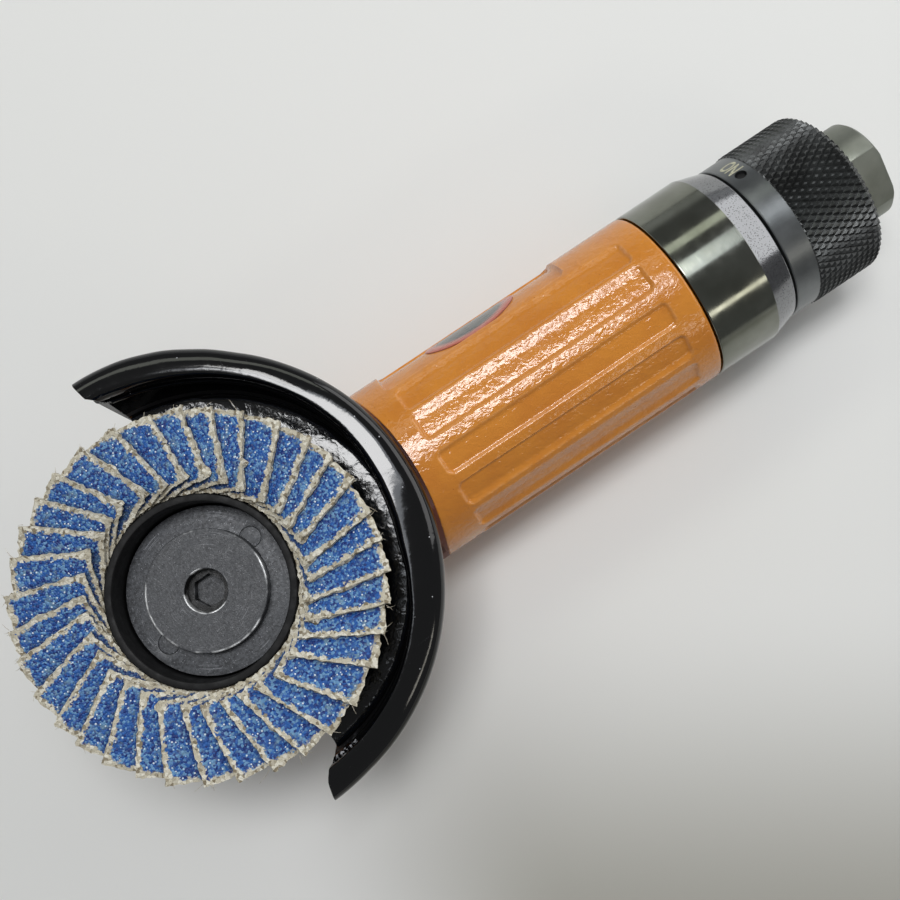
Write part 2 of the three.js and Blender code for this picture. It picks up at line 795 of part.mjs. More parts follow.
// Overlapping leaves: each one rises clockwise to its free edge and drops to the next.
// The edges are straight lines that pass beside the spindle axis.
function flapRing() {
  const base = plateTop + gap;
  const rise = flapFace - base;
  const width = flapRadius - flapInner;
  const stationShares = [[0, 0.45], [0.07, 0.86], [0.25, 1], [0.9, 1], [1, 0.9]];
  const stations = stationShares.map(([out, up]) => [flapInner + width * out, base + rise * up]);
  const perColumn = 2 + 2 * stations.length;
  const positions = [];
  for (let flap = 0; flap < flapCount; flap += 1) {
    const heading = radians((fullTurn * flap) / flapCount + flapPhase);
    const place = (radius, height) => {
      const angle = heading - Math.asin(flapEdgeOffset / radius);
      positions.push(radius * Math.cos(angle), radius * Math.sin(angle), height);
    };
    place(flapInner, base);
    place(flapRadius, base);
    stations.forEach(([radius, height]) => place(radius, height - flapStep));
    stations.forEach(([radius, height]) => place(radius, height));
  }
  const index = [];
  const quad = (a, b, c, d) => index.push(a, b, c, a, c, d);
  const last = stations.length - 1;
  for (let flap = 0; flap < flapCount; flap += 1) {
    const here = flap * perColumn;
    const next = ((flap + 1) % flapCount) * perColumn;
    const low = (column, station) => column + 2 + station;
    const high = (column, station) => column + 2 + stations.length + station;
    for (let s = 0; s < last; s += 1) {
      quad(high(here, s), high(here, s + 1), low(next, s + 1), low(next, s));
      quad(low(here, s), low(here, s + 1), high(here, s + 1), high(here, s));
    }
    index.push(here, low(next, 0), next, here, low(here, 0), low(next, 0));
    index.push(low(here, 0), high(here, 0), low(next, 0));
    index.push(here + 1, next + 1, low(next, last), here + 1, low(next, last), low(here, last));
    index.push(low(here, last), low(next, last), high(here, last));
    quad(here, next, next + 1, here + 1);
  }
  const geometry = new THREE.BufferGeometry();
  geometry.setAttribute('position', new THREE.Float32BufferAttribute(positions, 3));
  geometry.setIndex(index);
  return geometry;
}

function outerFlange() {
  const blank = turnedZ([
    [outerFlangeBore, outerFlangeBase], [outerFlangeRadius - edgeChamfer, outerFlangeBase],
    [outerFlangeRadius, outerFlangeBase + edgeChamfer], [outerFlangeRadius, outerFlangeTop - edgeChamfer],
    [outerFlangeRadius - edgeChamfer, outerFlangeTop], [outerFlangeBore, outerFlangeTop],
  ], wideSteps);
  const pockets = [0, halfTurn].map((side) => (
    barZ(pinPocketRadius, outerFlangeTop - pinPocketDepth, outerFlangeTop + overrun, smallSteps)
      .translate(pinPocketCircle, 0, 0)
      .rotateZ(radians(pinPocketAngle + side))
  ));
  return cut(blank, ...pockets);
}

function clampScrew() {
  const recessFloor = screwHeadTop - screwRecessDepth;
  const blank = turnedZ([
    [0, screwHeadBase - screwLength], [screwShankRadius, screwHeadBase - screwLength],
    [screwShankRadius, screwBossBase], [screwBossRadius, screwBossBase], [screwBossRadius, screwHeadBase],
    [screwHeadRadius, screwHeadBase], [screwHeadRadius, screwHeadTop - edgeChamfer],
    [screwHeadRadius - edgeChamfer, screwHeadTop], [screwRecessRadius, screwHeadTop],
    [screwRecessRadius, recessFloor], [0, recessFloor],
  ], wideSteps);
  const cornerRadius = socketAcrossFlats / 2 / Math.cos(Math.PI / hexSides);
  return cut(blank, barZ(cornerRadius, screwHeadTop - socketDepth, screwHeadTop, hexSides));
}

function polarPoint(radius, angle) {
  return new THREE.Vector2(radius * Math.cos(radians(angle)), radius * Math.sin(radians(angle)));
}

// The plan of the guard: half a turn round the barrel side, with slanted ends on its lip.
function guardPlan() {
  const far = 2 * guardRadius;
  const lipInner = guardRadius - 2 * guardBeadHalfWidth;
  const side = [
    polarPoint(far, guardTipAngle / 2),
    polarPoint(far, guardTipAngle),
    polarPoint(guardRadius, guardTipAngle),
    polarPoint(lipInner, guardPlateEndAngle),
    polarPoint(neckRadius / 2, guardPlateEndAngle),
  ];
  const mirrored = side.map((point) => new THREE.Vector2(point.x, -point.y)).reverse();
  const plan = new THREE.Shape([...side, ...mirrored]);
  const half = new THREE.ExtrudeGeometry(plan, { depth: 2 * guardRim, bevelEnabled: false });
  return join(half, barZ(guardHubRadius, 0, 2 * guardRim, wideSteps));
}

function guard() {
  const beadCentre = [guardRadius - guardBeadHalfWidth, guardRim - guardBeadHalfHeight];
  const bead = arcPoints(
    beadCentre, guardBeadHalfWidth, guardBeadHalfHeight,
    guardBeadFrom, guardBeadTo, guardBeadSteps,
  );
  const bore = neckRadius + gap;
  const bend = guardThickness * guardBendShare;
  const section = turnedZ([
    [bore, guardPlateBase], [guardWallFoot, guardPlateBase],
    [guardWallFoot + bend, guardPlateBase + bend / 2], ...bead,
    [guardWallFoot - bend / 4, guardPlateBase + guardThickness + bend / 2],
    [guardWallFoot - bend, guardPlateBase + guardThickness], [bore, guardPlateBase + guardThickness],
  ], guardSteps);
  return common(section, guardPlan());
}

// The clamp band opens on the side away from the barrel, with a lug beside the slot.
function guardCollar() {
  const low = bandTop - bandHeight;
  const band = ringZ(low, bandTop, neckRadius + gap, bandRadius, middleSteps);
  const lugReach = bandSlot / 2 + lugThickness;
  const lugs = block(
    [-bandRadius - lugLength, -lugReach, low],
    [-(neckRadius + bandRadius) / 2, lugReach, bandTop],
  );
  const slot = block(
    [-bandRadius - lugLength - overrun, -bandSlot / 2, low - overrun],
    [-neckRadius / 2, bandSlot / 2, bandTop + overrun],
  );
  const hole = barZ(lugScrewRadius + gap, -lugReach - overrun, lugReach + overrun, smallSteps)
    .rotateX(radians(quarterTurn))
    .translate(-bandRadius - lugLength / 2, 0, bandTop - bandHeight / 2);
  return cut(join(band, lugs), slot, hole);
}

function lugPlace(geometry) {
  const height = bandTop - bandHeight / 2;
  return geometry.rotateX(radians(quarterTurn)).translate(-bandRadius - lugLength / 2, 0, height);
}

function guardClampScrew() {
  const lugFace = bandSlot / 2 + lugThickness + gap;
  const end = lugFace + lugScrewHeadLength + lugScrewSpare;
  return lugPlace(turnedZ([
    [0, -lugFace - lugScrewHeadLength], [lugScrewHead, -lugFace - lugScrewHeadLength],
    [lugScrewHead, -lugFace], [lugScrewRadius, -lugFace], [lugScrewRadius, end], [0, end],
  ], smallSteps));
}

function guardClampNut() {
  const lugFace = bandSlot / 2 + lugThickness + gap;
  const nutEnd = lugFace + lugScrewHeadLength;
  const hexagon = turnedZ([
    [0, lugFace], [lugScrewHead, lugFace], [lugScrewHead, nutEnd], [0, nutEnd],
  ], hexSides);
  const bore = barZ(lugScrewRadius + gap, lugFace - overrun, nutEnd + overrun, smallSteps);
  return lugPlace(cut(hexagon, bore));
}

// An end plate holds its bearing in a pocket on the side away from the rotor.
function endPlate(start, faceRear) {
  const plateEnd = start + endPlateLength;
  const pocket = rotorBearing.width + gap;
  const hole = rotorBearing.outer + gap;
  const shaftHole = rotorJournal + gap;
  const profile = faceRear
    ? [[start, shaftHole], [start, motorRadius], [plateEnd, motorRadius], [plateEnd, hole],
      [plateEnd - pocket, hole], [plateEnd - pocket, shaftHole]]
    : [[start, hole], [start, motorRadius], [plateEnd, motorRadius], [plateEnd, shaftHole],
      [start + pocket, shaftHole], [start + pocket, hole]];
  const dowelHole = barX(dowelRadius + gap, start - overrun, plateEnd + overrun, holeSteps)
    .translate(0, 0, -dowelCircle);
  const ports = [quarterTurn, -quarterTurn].map((angle) => (
    barX(airPortRadius, start - overrun, plateEnd + overrun, holeSteps)
      .translate(0, 0, dowelCircle)
      .rotateX(radians(angle))
  ));
  return cut(turnedX(profile, wideSteps), dowelHole, ...ports);
}

function rearRotorBearing() {
  return bearingX(rotorBearing, rearPlateEnd - rotorBearing.width);
}

function cylinderLiner() {
  const tube = barX(motorRadius, linerStart, linerEnd, wideSteps);
  const bore = barX(linerBore, linerStart - overrun, linerEnd + overrun, wideSteps)
    .translate(0, 0, linerOffset);
  const dowelHole = barX(dowelRadius + gap, linerStart - overrun, linerEnd + overrun, holeSteps)
    .translate(0, 0, -dowelCircle);
  const ports = Array.from({ length: linerPortCount }, (_, i) => {
    const station = linerStart + ((linerEnd - linerStart) * (i + 1)) / (linerPortCount + 1);
    return radialPin(linerPortRadius, station, rotorRadius, barrelRadius, quarterTurn, holeSteps);
  });
  return cut(tube, bore, dowelHole, ...ports);
}

function linerDowel() {
  const start = frontPlateEnd - dowelInset;
  return barX(dowelRadius, start, rearPlateStart + dowelInset, holeSteps).translate(0, 0, -dowelCircle);
}

function rotor() {
  const bodyStart = linerStart + gap;
  const bodyEnd = linerEnd - gap;
  const noseEnd = pinionShaftEnd + gap;
  const blank = turnedX([
    [noseEnd, 0], [noseEnd, rotorJournal], [bodyStart, rotorJournal], [bodyStart, rotorRadius],
    [bodyEnd, rotorRadius], [bodyEnd, rotorJournal], [rearPlateEnd, rotorJournal], [rearPlateEnd, 0],
  ], wideSteps);
  const nose = barZ(couplingRadius, pinionShaftEnd - couplingLength, noseEnd + overrun, hexSides)
    .rotateY(radians(quarterTurn));
  const slotHalf = vaneThickness / 2 + gap;
  const slotFloor = rotorRadius - vaneHeight - 2 * gap;
  const slots = Array.from({ length: vaneCount }, (_, i) => (
    block([bodyStart - gap, -slotHalf, slotFloor], [bodyEnd + gap, slotHalf, rotorRadius + overrun])
      .rotateX(radians((fullTurn / vaneCount) * i))
  ));
  return cut(join(blank, nose), ...slots);
}

function vane(turnIndex) {
  const top = rotorRadius - gap / 2;
  const leaf = block(
    [linerStart + gap, -vaneThickness / 2, top - vaneHeight],
    [linerEnd - gap, vaneThickness / 2, top],
  );
  return leaf.rotateX(radians((fullTurn / vaneCount) * turnIndex));
}

function waveWasher() {
  return ringX(washerStart, washerStart + washerThickness, washerBore, motorRadius, middleSteps);
}

function ringGroove(station, radius, width, depth) {
  return [
    [station - width / 2, radius], [station - width / 2, radius - depth],
    [station + width / 2, radius - depth], [station + width / 2, radius],
  ];
}

function bushingBlank() {
  const grooveStart = sleeveEnd + bossGrooveStart;
  const grooveEnd = grooveStart + bossGrooveWidth;
  const sealWidthWithGaps = 2 * (sleeveRingSection + gap);
  const ringGrooves = sleeveRingMargins.flatMap((margin) => (
    ringGroove(sleeveStart + margin, journalRadius, sealWidthWithGaps, sleeveRingGroove)
  ));
  const snapStation = snapRingStation + snapRingThickness / 2;
  const snapDepth = journalRadius - snapRingBore + gap;
  const snapWidth = snapRingThickness + 2 * gap;
  const snapGroove = ringGroove(snapStation, journalRadius, snapWidth, snapDepth);
  return turnedX([
    [bushingStart, seatOuter + gap], [bushingStart, bushingRadius], [journalStart, bushingRadius],
    [journalStart, journalRadius], ...ringGrooves, ...snapGroove, [journalEnd, journalRadius],
    [journalEnd, bossRadius], [grooveStart, bossRadius], [grooveStart, bossRadius - bossGrooveDepth],
    [grooveEnd, bossRadius - bossGrooveDepth], [grooveEnd, bossRadius],
    [bossEnd - edgeChamfer, bossRadius], [bossEnd, bossRadius - edgeChamfer], [bossEnd, inletRadius],
    [inletFloor, inletRadius], [inletFloor, inletNeckRadius], [chamberEnd, inletNeckRadius],
    [chamberEnd, valveChamber], [seatEnd + gap, valveChamber], [seatEnd + gap, seatOuter + gap],
  ], middleSteps);
}

// Two wrench flats, the arc slot that lets the drive pin swing, and the key pin's hole.
function inletBushing() {
  const flats = [0, halfTurn].map((side) => (
    block(
      [bossEnd - flatLength, -barrelRadius, flatDistance],
      [bossEnd + overrun, barrelRadius, barrelRadius],
    ).rotateX(radians(flatAngle + side))
  ));
  const slotHalf = drivePinRadius + gap;
  const sideAngle = THREE.MathUtils.radToDeg(Math.asin(slotHalf / valveChamber));
  const slotRing = ringX(
    drivePinStation - slotHalf, drivePinStation + slotHalf,
    valveChamber - overrun, journalRadius + overrun, middleSteps,
  );
  const wedge = barrelWedge(
    drivePinStation - 2 * slotHalf, drivePinStation + 2 * slotHalf,
    2 * journalRadius, throttleTurn / 2 + sideAngle,
  ).rotateX(radians(drivePinAngle + throttleTurn / 2));
  const keyHole = radialPin(
    slotHalf, drivePinStation, valveChamber - overrun, journalRadius + overrun, halfTurn, smallSteps,
  );
  return cut(bushingBlank(), ...flats, common(slotRing, wedge), keyHole);
}

function inletScreen() {
  const start = inletFloor + gap;
  const disc = barX(inletRadius - gap, start, start + screenThickness, middleSteps);
  const holes = Array.from({ length: screenHoleCount }, (_, i) => (
    barX(screenHoleRadius, start - overrun, start + screenThickness + overrun, holeSteps)
      .translate(0, 0, screenHoleCircle)
      .rotateX(radians((fullTurn / screenHoleCount) * i))
  ));
  return cut(disc, ...holes);
}

function throttleSleeve() {
  const bore = journalRadius + gap;
  const counterStart = snapRingStation - gap;
  const edgeCentre = [sleeveEnd - knurlEdge, knurlOuter - knurlEdge];
  const edge = arcPoints(edgeCentre, knurlEdge, knurlEdge, quarterTurn, 0, edgeSteps);
  const blank = turnedX([
    [sleeveStart, bore], [sleeveStart, bandOuter - edgeChamfer],
    [sleeveStart + edgeChamfer, bandOuter], [knurlStart, bandOuter], [knurlStart + edgeChamfer, knurlOuter], ...edge,
    [sleeveEnd, counterboreRadius], [counterStart, counterboreRadius], [counterStart, bore],
  ], wideSteps);
  const hole = radialPin(
    drivePinRadius + gap, drivePinStation, bore - overrun, knurlOuter + overrun, drivePinAngle, smallSteps,
  );
  return cut(blank, hole);
}

function drivePin() {
  const inner = valveGuideRadius - camDepth + gap;
  const outer = bandOuter - drivePinSink;
  return radialPin(drivePinRadius, drivePinStation, inner, outer, drivePinAngle, smallSteps);
}

function valveKeyPin() {
  const inner = valveGuideRadius - camDepth + gap;
  const outer = journalRadius - gap;
  return radialPin(drivePinRadius, drivePinStation, inner, outer, halfTurn, smallSteps);
}

function valveSeat() {
  return ringX(seatStart, seatEnd, seatBore, seatOuter, middleSteps);
}

function valveFaceRing() {
  return torusX(seatEnd + valveFaceGap / 2, faceRingRadius, faceRingSection);
}

// The valve slides on a key, and the drive pin pushes it through a helical cam groove.
function throttleValve() {
  const guide = valveGuideRadius;
  const headEnd = valveStart + valveHeadLength;
  const guideStart = headEnd + valveWaistLength;
  const boreStart = valveEnd - valveBoreDepth;
  const blank = turnedX([
    [valveStart, 0], [valveStart, valveHeadRadius], [headEnd, valveHeadRadius], [headEnd, valveWaist],
    [guideStart, valveWaist], [guideStart, guide], [valveEnd, guide], [valveEnd, valveBore],
    [boreStart, valveBore], [boreStart, 0],
  ], middleSteps);
  const grooveHalf = drivePinRadius + gap;
  const cam = Array.from({ length: camSteps + 1 }, (_, i) => {
    const share = i / camSteps;
    const station = drivePinStation - valveTravel * share;
    const angle = drivePinAngle + throttleTurn * share;
    return radialPin(grooveHalf, station, guide - camDepth, guide + overrun, angle, holeSteps);
  });
  const key = block(
    [drivePinStation - valveTravel - grooveHalf, -grooveHalf, -guide - overrun],
    [drivePinStation + grooveHalf, grooveHalf, camDepth - guide],
  );
  const portStation = guideStart - valvePortRadius - gap;
  const port = barZ(valvePortRadius, -guide, guide, holeSteps).translate(portStation, 0, 0);
  return cut(blank, ...cam, key, port);
}

// An unbroken helical wire between the valve and the wall behind it.
function throttleSpring() {
  const start = valveEnd - valveBoreDepth + springWire + gap;
  const end = chamberEnd - springWire - gap;
  const rings = springCoils * springStepsPerCoil;
  const positions = [];
  for (let ring = 0; ring <= rings; ring += 1) {
    const share = ring / rings;
    const angle = 2 * Math.PI * springCoils * share;
    const station = start + (end - start) * share;
    for (let side = 0; side < cordSides; side += 1) {
      const lean = (2 * Math.PI * side) / cordSides;
      const radius = springRadius + springWire * Math.cos(lean);
      const across = radius * Math.cos(angle);
      positions.push(station + springWire * Math.sin(lean), across, radius * Math.sin(angle));
    }
  }
  const index = [];
  for (let ring = 0; ring < rings; ring += 1) {
    for (let side = 0; side < cordSides; side += 1) {
      const next = (side + 1) % cordSides;
      const [a, b] = [ring * cordSides + side, ring * cordSides + next];
      index.push(a, b, b + cordSides, a, b + cordSides, a + cordSides);
    }
  }
  const lastRing = rings * cordSides;
  for (let side = 1; side < cordSides - 1; side += 1) {
    index.push(0, side + 1, side, lastRing, lastRing + side, lastRing + side + 1);
  }
  const geometry = new THREE.BufferGeometry();
  geometry.setAttribute('position', new THREE.Float32BufferAttribute(positions, 3));
  geometry.setIndex(index);
  return geometry;
}

function sleeveRing(margin) {
  const station = sleeveStart + margin;
  return torusX(station, journalRadius - sleeveRingGroove + gap + sleeveRingSection, sleeveRingSection);
}

function snapRing() {
  const end = snapRingStation + snapRingThickness;
  const ring = ringX(snapRingStation, end, snapRingBore, snapRingRadius, middleSteps);
  const opening = block(
    [snapRingStation - overrun, -snapRingOpening / 2, -barrelRadius],
    [end + overrun, snapRingOpening / 2, 0],
  );
  return cut(ring, opening);
}

const grinder = new THREE.Group();
const barrelGroup = new THREE.Group();
barrelGroup.position.z = barrelRadius;
grinder.add(barrelGroup);

function addPiece(group, name, geometry, material) {
  const mesh = new THREE.Mesh(geometryOf(solidOf(geometry)), material);
  mesh.name = name;
  group.add(mesh);
}

// On the spindle axis.
addPiece(grinder, 'angle_head', angleHead(), orangePaint);
addPiece(grinder, 'spindle_lower_bearing', bearingZ(lowerBearing, lowerBearingBase), bareSteel);
addPiece(grinder, 'spindle_upper_bearing', bearingZ(upperBearing, upperBearingBase), bareSteel);
addPiece(grinder, 'bearing_retainer_nut', retainerNut(), bareSteel);
addPiece(grinder, 'spindle_seal', spindleSeal(), rubber);
addPiece(grinder, 'spindle', spindle(), bareSteel);
addPiece(grinder, 'bevel_gear', bevelGear(), bareSteel);
addPiece(grinder, 'inner_flange', innerFlange(), bareSteel);
addPiece(grinder, 'disc_backing_plate', backingPlate(), blackPlastic);
addPiece(grinder, 'flap_ring', flapRing(), abrasiveCloth);
addPiece(grinder, 'outer_flange', outerFlange(), speckledBlack);
addPiece(grinder, 'clamp_screw', clampScrew(), speckledBlack);
addPiece(grinder, 'guard', guard(), blackPaint);
addPiece(grinder, 'guard_collar', guardCollar(), blackPaint);
addPiece(grinder, 'guard_clamp_screw', guardClampScrew(), bareSteel);
addPiece(grinder, 'guard_clamp_nut', guardClampNut(), bareSteel);

// On the barrel axis.
addPiece(barrelGroup, 'motor_housing', motorHousing(), orangePaint);
addPiece(barrelGroup, 'badge', badge(), badgeEnamel);
addPiece(barrelGroup, 'rear_collar', rearCollar(), blackSteel);
addPiece(barrelGroup, 'collar_o_ring', collarRing(), rubber);
addPiece(barrelGroup, 'bevel_pinion', bevelPinion(), bareSteel);
addPiece(barrelGroup, 'pinion_bearing_front', bearingX(pinionBearing, pinionBearingStart), bareSteel);
addPiece(barrelGroup, 'pinion_spacer', pinionSpacer(), bareSteel);
addPiece(barrelGroup, 'pinion_bearing_rear', rearPinionBearing(), bareSteel);
addPiece(barrelGroup, 'pinion_lock_ring', pinionLockRing(), bareSteel);
addPiece(barrelGroup, 'front_end_plate', endPlate(frontPlateStart, false), aluminium);
addPiece(barrelGroup, 'front_rotor_bearing', bearingX(rotorBearing, frontPlateStart), bareSteel);
addPiece(barrelGroup, 'cylinder_liner', cylinderLiner(), bareSteel);
addPiece(barrelGroup, 'liner_dowel', linerDowel(), bareSteel);
addPiece(barrelGroup, 'rotor', rotor(), bareSteel);
for (let i = 0; i < vaneCount; i += 1) {
  addPiece(barrelGroup, `vane_${i + 1}`, vane(i), vaneComposite);
}
addPiece(barrelGroup, 'rear_end_plate', endPlate(rearPlateStart, true), aluminium);
addPiece(barrelGroup, 'rear_rotor_bearing', rearRotorBearing(), bareSteel);
addPiece(barrelGroup, 'wave_washer', waveWasher(), bareSteel);
addPiece(barrelGroup, 'inlet_bushing', inletBushing(), blackSteel);
addPiece(barrelGroup, 'inlet_screen', inletScreen(), brass);
addPiece(barrelGroup, 'valve_seat', valveSeat(), brass);
addPiece(barrelGroup, 'throttle_valve', throttleValve(), bareSteel);
addPiece(barrelGroup, 'valve_o_ring', valveFaceRing(), rubber);
addPiece(barrelGroup, 'valve_key_pin', valveKeyPin(), bareSteel);
addPiece(barrelGroup, 'throttle_spring', throttleSpring(), bareSteel);
addPiece(barrelGroup, 'throttle_sleeve', throttleSleeve(), blackSteel);
addPiece(barrelGroup, 'drive_pin', drivePin(), bareSteel);
addPiece(barrelGroup, 'sleeve_o_ring_front', sleeveRing(sleeveRingMargins[0]), rubber);
addPiece(barrelGroup, 'sleeve_o_ring_rear', sleeveRing(sleeveRingMargins[1]), rubber);
addPiece(barrelGroup, 'snap_ring', snapRing(), bareSteel);

export default grinder;
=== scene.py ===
import math
import random

import bmesh
import bpy
from mathutils import Euler, Matrix, Vector, noise


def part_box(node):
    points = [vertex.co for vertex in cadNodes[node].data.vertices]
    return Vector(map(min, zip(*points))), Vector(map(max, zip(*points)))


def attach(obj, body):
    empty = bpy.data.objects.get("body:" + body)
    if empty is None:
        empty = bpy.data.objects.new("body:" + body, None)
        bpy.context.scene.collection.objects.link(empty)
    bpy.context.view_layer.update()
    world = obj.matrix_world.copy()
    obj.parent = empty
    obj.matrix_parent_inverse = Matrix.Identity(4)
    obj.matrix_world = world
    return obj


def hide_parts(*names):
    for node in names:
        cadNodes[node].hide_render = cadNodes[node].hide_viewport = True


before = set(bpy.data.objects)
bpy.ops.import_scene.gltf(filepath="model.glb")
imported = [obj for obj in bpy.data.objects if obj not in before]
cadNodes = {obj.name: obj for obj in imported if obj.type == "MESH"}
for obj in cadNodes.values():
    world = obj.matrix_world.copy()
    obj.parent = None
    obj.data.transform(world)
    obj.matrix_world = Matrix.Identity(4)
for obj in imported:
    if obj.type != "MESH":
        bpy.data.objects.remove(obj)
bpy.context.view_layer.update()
mm = 0.001
axisHeight = 21.0  # of the barrel above the table, in mm like every length below
print("frame loaded:", len(cadNodes), "CAD nodes")


class Wire:
    def __init__(self, shader, socket):
        self.shader = shader
        self.socket = socket

    def __add__(self, other):
        return self.shader.maths("ADD", self, other)

    def __sub__(self, other):
        return self.shader.maths("SUBTRACT", self, other)

    def __mul__(self, other):
        return self.shader.maths("MULTIPLY", self, other)

    def __rsub__(self, other):
        return self.shader.maths("SUBTRACT", other, self)

    __radd__ = __add__
    __rmul__ = __mul__


class Shader:
    def __init__(self, name):
        self.material = bpy.data.materials.new(name)
        self.material.use_nodes = True
        self.tree = self.material.node_tree
        self.tree.nodes.clear()
        self.place = self.node("ShaderNodeTexCoord")["Object"]

    def node(self, kind, settings=None, sockets=None):
        made = self.tree.nodes.new(kind)
        for key, value in (settings or {}).items():
            setattr(made, key, value)
        for key, value in (sockets or {}).items():
            if isinstance(value, Wire):
                self.tree.links.new(value.socket, made.inputs[key])
            else:
                made.inputs[key].default_value = value
        wires = {number: Wire(self, output) for number, output in enumerate(made.outputs)}
        for output in made.outputs:
            wires.setdefault(output.name, Wire(self, output))
        return wires

    def maths(self, operation, first, second=0.0):
        return self.node("ShaderNodeMath", {"operation": operation}, {0: first, 1: second})["Value"]

    def step(self, value, low, high, first=0.0, last=1.0):  # eased from first to last
        return self.node("ShaderNodeMapRange", {"interpolation_type": "SMOOTHSTEP"},
                         {0: value, 1: low, 2: high, 3: first, 4: last})["Result"]

    def mix(self, mask, first, second):
        return self.node("ShaderNodeMix", {"data_type": "RGBA"}, {0: mask, 6: first, 7: second})[2]

    def stretched(self, scale, turn=(0, 0, 0), source=None):
        return self.node("ShaderNodeMapping", {},
                         {"Vector": source or self.place, "Rotation": turn, "Scale": scale})["Vector"]

    def grain(self, size, detail=3.0, rough=0.5, source=None, warp=0.0):  # size of a lump in mm
        return self.node("ShaderNodeTexNoise", {}, {
            "Vector": source or self.place, "Scale": 1 / (size * mm), "Detail": detail,
            "Roughness": rough, "Distortion": warp})["Fac"]

    def cloud(self, size, detail, low, high, first=0.0, last=1.0):  # soft patches
        return self.step(self.grain(size, detail), low, high, first, last)

    def cells(self, size, output="Distance", source=None):
        return self.node("ShaderNodeTexVoronoi", {}, {
            "Vector": source or self.place, "Scale": 1 / (size * mm)})[output]

    def dots(self, size, wide, narrow):  # small round spots
        return self.step(self.cells(size), wide, narrow)

    def lines(self, along, size, detail):  # turned lines across a direction
        return self.node("ShaderNodeTexNoise", {"noise_dimensions": "1D"},
                         {"W": along * (1 / (size * mm)), "Scale": 1.0, "Detail": detail})["Fac"]

    def apart(self, source=None):
        return self.node("ShaderNodeSeparateXYZ", {}, {"Vector": source or self.place})

    def reach(self, xyz):  # distance from the spindle's axis
        return self.maths("SQRT", xyz["X"] * xyz["X"] + xyz["Y"] * xyz["Y"])

    def stored(self, name):  # a value kept on the piece's own vertices
        return self.node("ShaderNodeAttribute", {"attribute_name": name})["Fac"]

    def bump(self, height, depth, strength=1.0, under=None):  # depth in mm
        sockets = {"Height": height, "Distance": depth * mm, "Strength": strength}
        if under:
            sockets["Normal"] = under
        return self.node("ShaderNodeBump", {}, sockets)["Normal"]

    def surface(self, sockets):
        made = self.node("ShaderNodeBsdfPrincipled", {}, sockets)
        self.node("ShaderNodeOutputMaterial", {}, {"Surface": made["BSDF"]})
        return self


def paint(red, green, blue):  # screen values of 0 to 255
    return tuple(((part / 255 + 0.055) / 1.055) ** 2.4 if part > 10 else part / 255 / 12.92
                 for part in (red, green, blue)) + (1.0,)


def orangePaintShader():
    look = {"paint": paint(206, 132, 48), "deep": paint(184, 108, 38), "worn": paint(228, 166, 106),
            "speck": paint(120, 58, 26), "grimeAndShade": paint(96, 40, 18)}
    s = Shader("orangePaint")
    blotch = s.cloud(9, 3, 0.35, 0.7)
    colour = s.mix(blotch * 0.4, look["paint"], look["deep"])
    colour = s.mix(s.stored("brink") * s.cloud(1.4, 4, 0.3, 0.62) * 0.45, colour, look["worn"])
    specks = s.dots(1.9, 0.10, 0.05) * s.cloud(6, 2, 0.52, 0.6)
    colour = s.mix(specks * 0.5, colour, look["speck"])
    ripple = s.grain(1.15, 2, 0.5, s.stretched((0.72, 1.0, 1.0), (0, 0, 0.9)), 0.6)
    peel = s.bump(ripple, 0.16)
    peel = s.bump(s.grain(0.42, 2, 0.5), 0.022, under=peel)
    # painted shade: the scoop's shelf beside the guard's lip is darkened, partly grime and partly the shade
    # that falls in the gap
    colour = s.mix(s.stored("grimeAndShade"), colour, look["grimeAndShade"])
    rough = s.cloud(3, 3, 0.3, 0.7, 0.11, 0.17) + s.stored("grimeAndShade") * 0.5
    return s.surface({"Base Color": colour, "Roughness": rough, "IOR": 1.62, "Normal": peel})


def blackPaintShader():
    look = {"paint": paint(9, 9, 10), "dust": paint(190, 192, 196), "scuff": paint(70, 72, 76)}
    s = Shader("blackPaint")
    oneWay, otherWay = s.stretched((1, 16, 1), (0, 0, 0.9)), s.stretched((14, 1, 1), (0, 0, 0.3))
    scratch = s.step(s.grain(3.6, 3, 0.7, oneWay, 1.2), 0.71, 0.735)
    scratch = scratch + s.step(s.grain(4.4, 3, 0.7, otherWay, 1.0), 0.72, 0.74)
    scratch = s.maths("MINIMUM", scratch * s.cloud(10, 2, 0.5, 0.6), 1.0)
    dust = s.dots(2.4, 0.075, 0.045) * s.cloud(5, 2, 0.52, 0.6)
    rub = s.stored("rub") * s.step(s.grain(0.9, 4, 0.7), 0.56, 0.62)  # white chips along worn edges
    xyz = s.apart()
    reach = s.reach(xyz)
    inside = s.step(reach, 40.2 * mm, 40.6 * mm) * s.step(reach, 42.2 * mm, 41.9 * mm)  # the dull inner wall
    inside = inside * s.step(xyz["Z"], 35.4 * mm, 35.9 * mm) * s.step(xyz["Z"], 41.2 * mm, 40.8 * mm)
    colour = s.mix(scratch * 0.7, look["paint"], look["scuff"])
    colour = s.mix(s.maths("MAXIMUM", dust * 0.85, rub), colour, look["dust"])
    flat = s.step(xyz["Z"], 36 * mm, 38 * mm, 1.0, 0.2)  # the plate is pitted, the lip nearly smooth
    peel = s.bump(s.grain(2.2, 3, 0.5, None, 0.8) * flat, 0.08)
    peel = s.bump(s.grain(0.45, 3, 0.6) * flat, 0.010, under=peel)
    marks = s.maths("MAXIMUM", s.maths("MAXIMUM", dust, rub), scratch)
    rough = s.cloud(4, 4, 0.35, 0.75, 0.07, 0.11) + marks * 0.4 + inside * 0.4
    return s.surface({"Base Color": colour, "Roughness": rough, "IOR": 1.55, "Normal": peel})


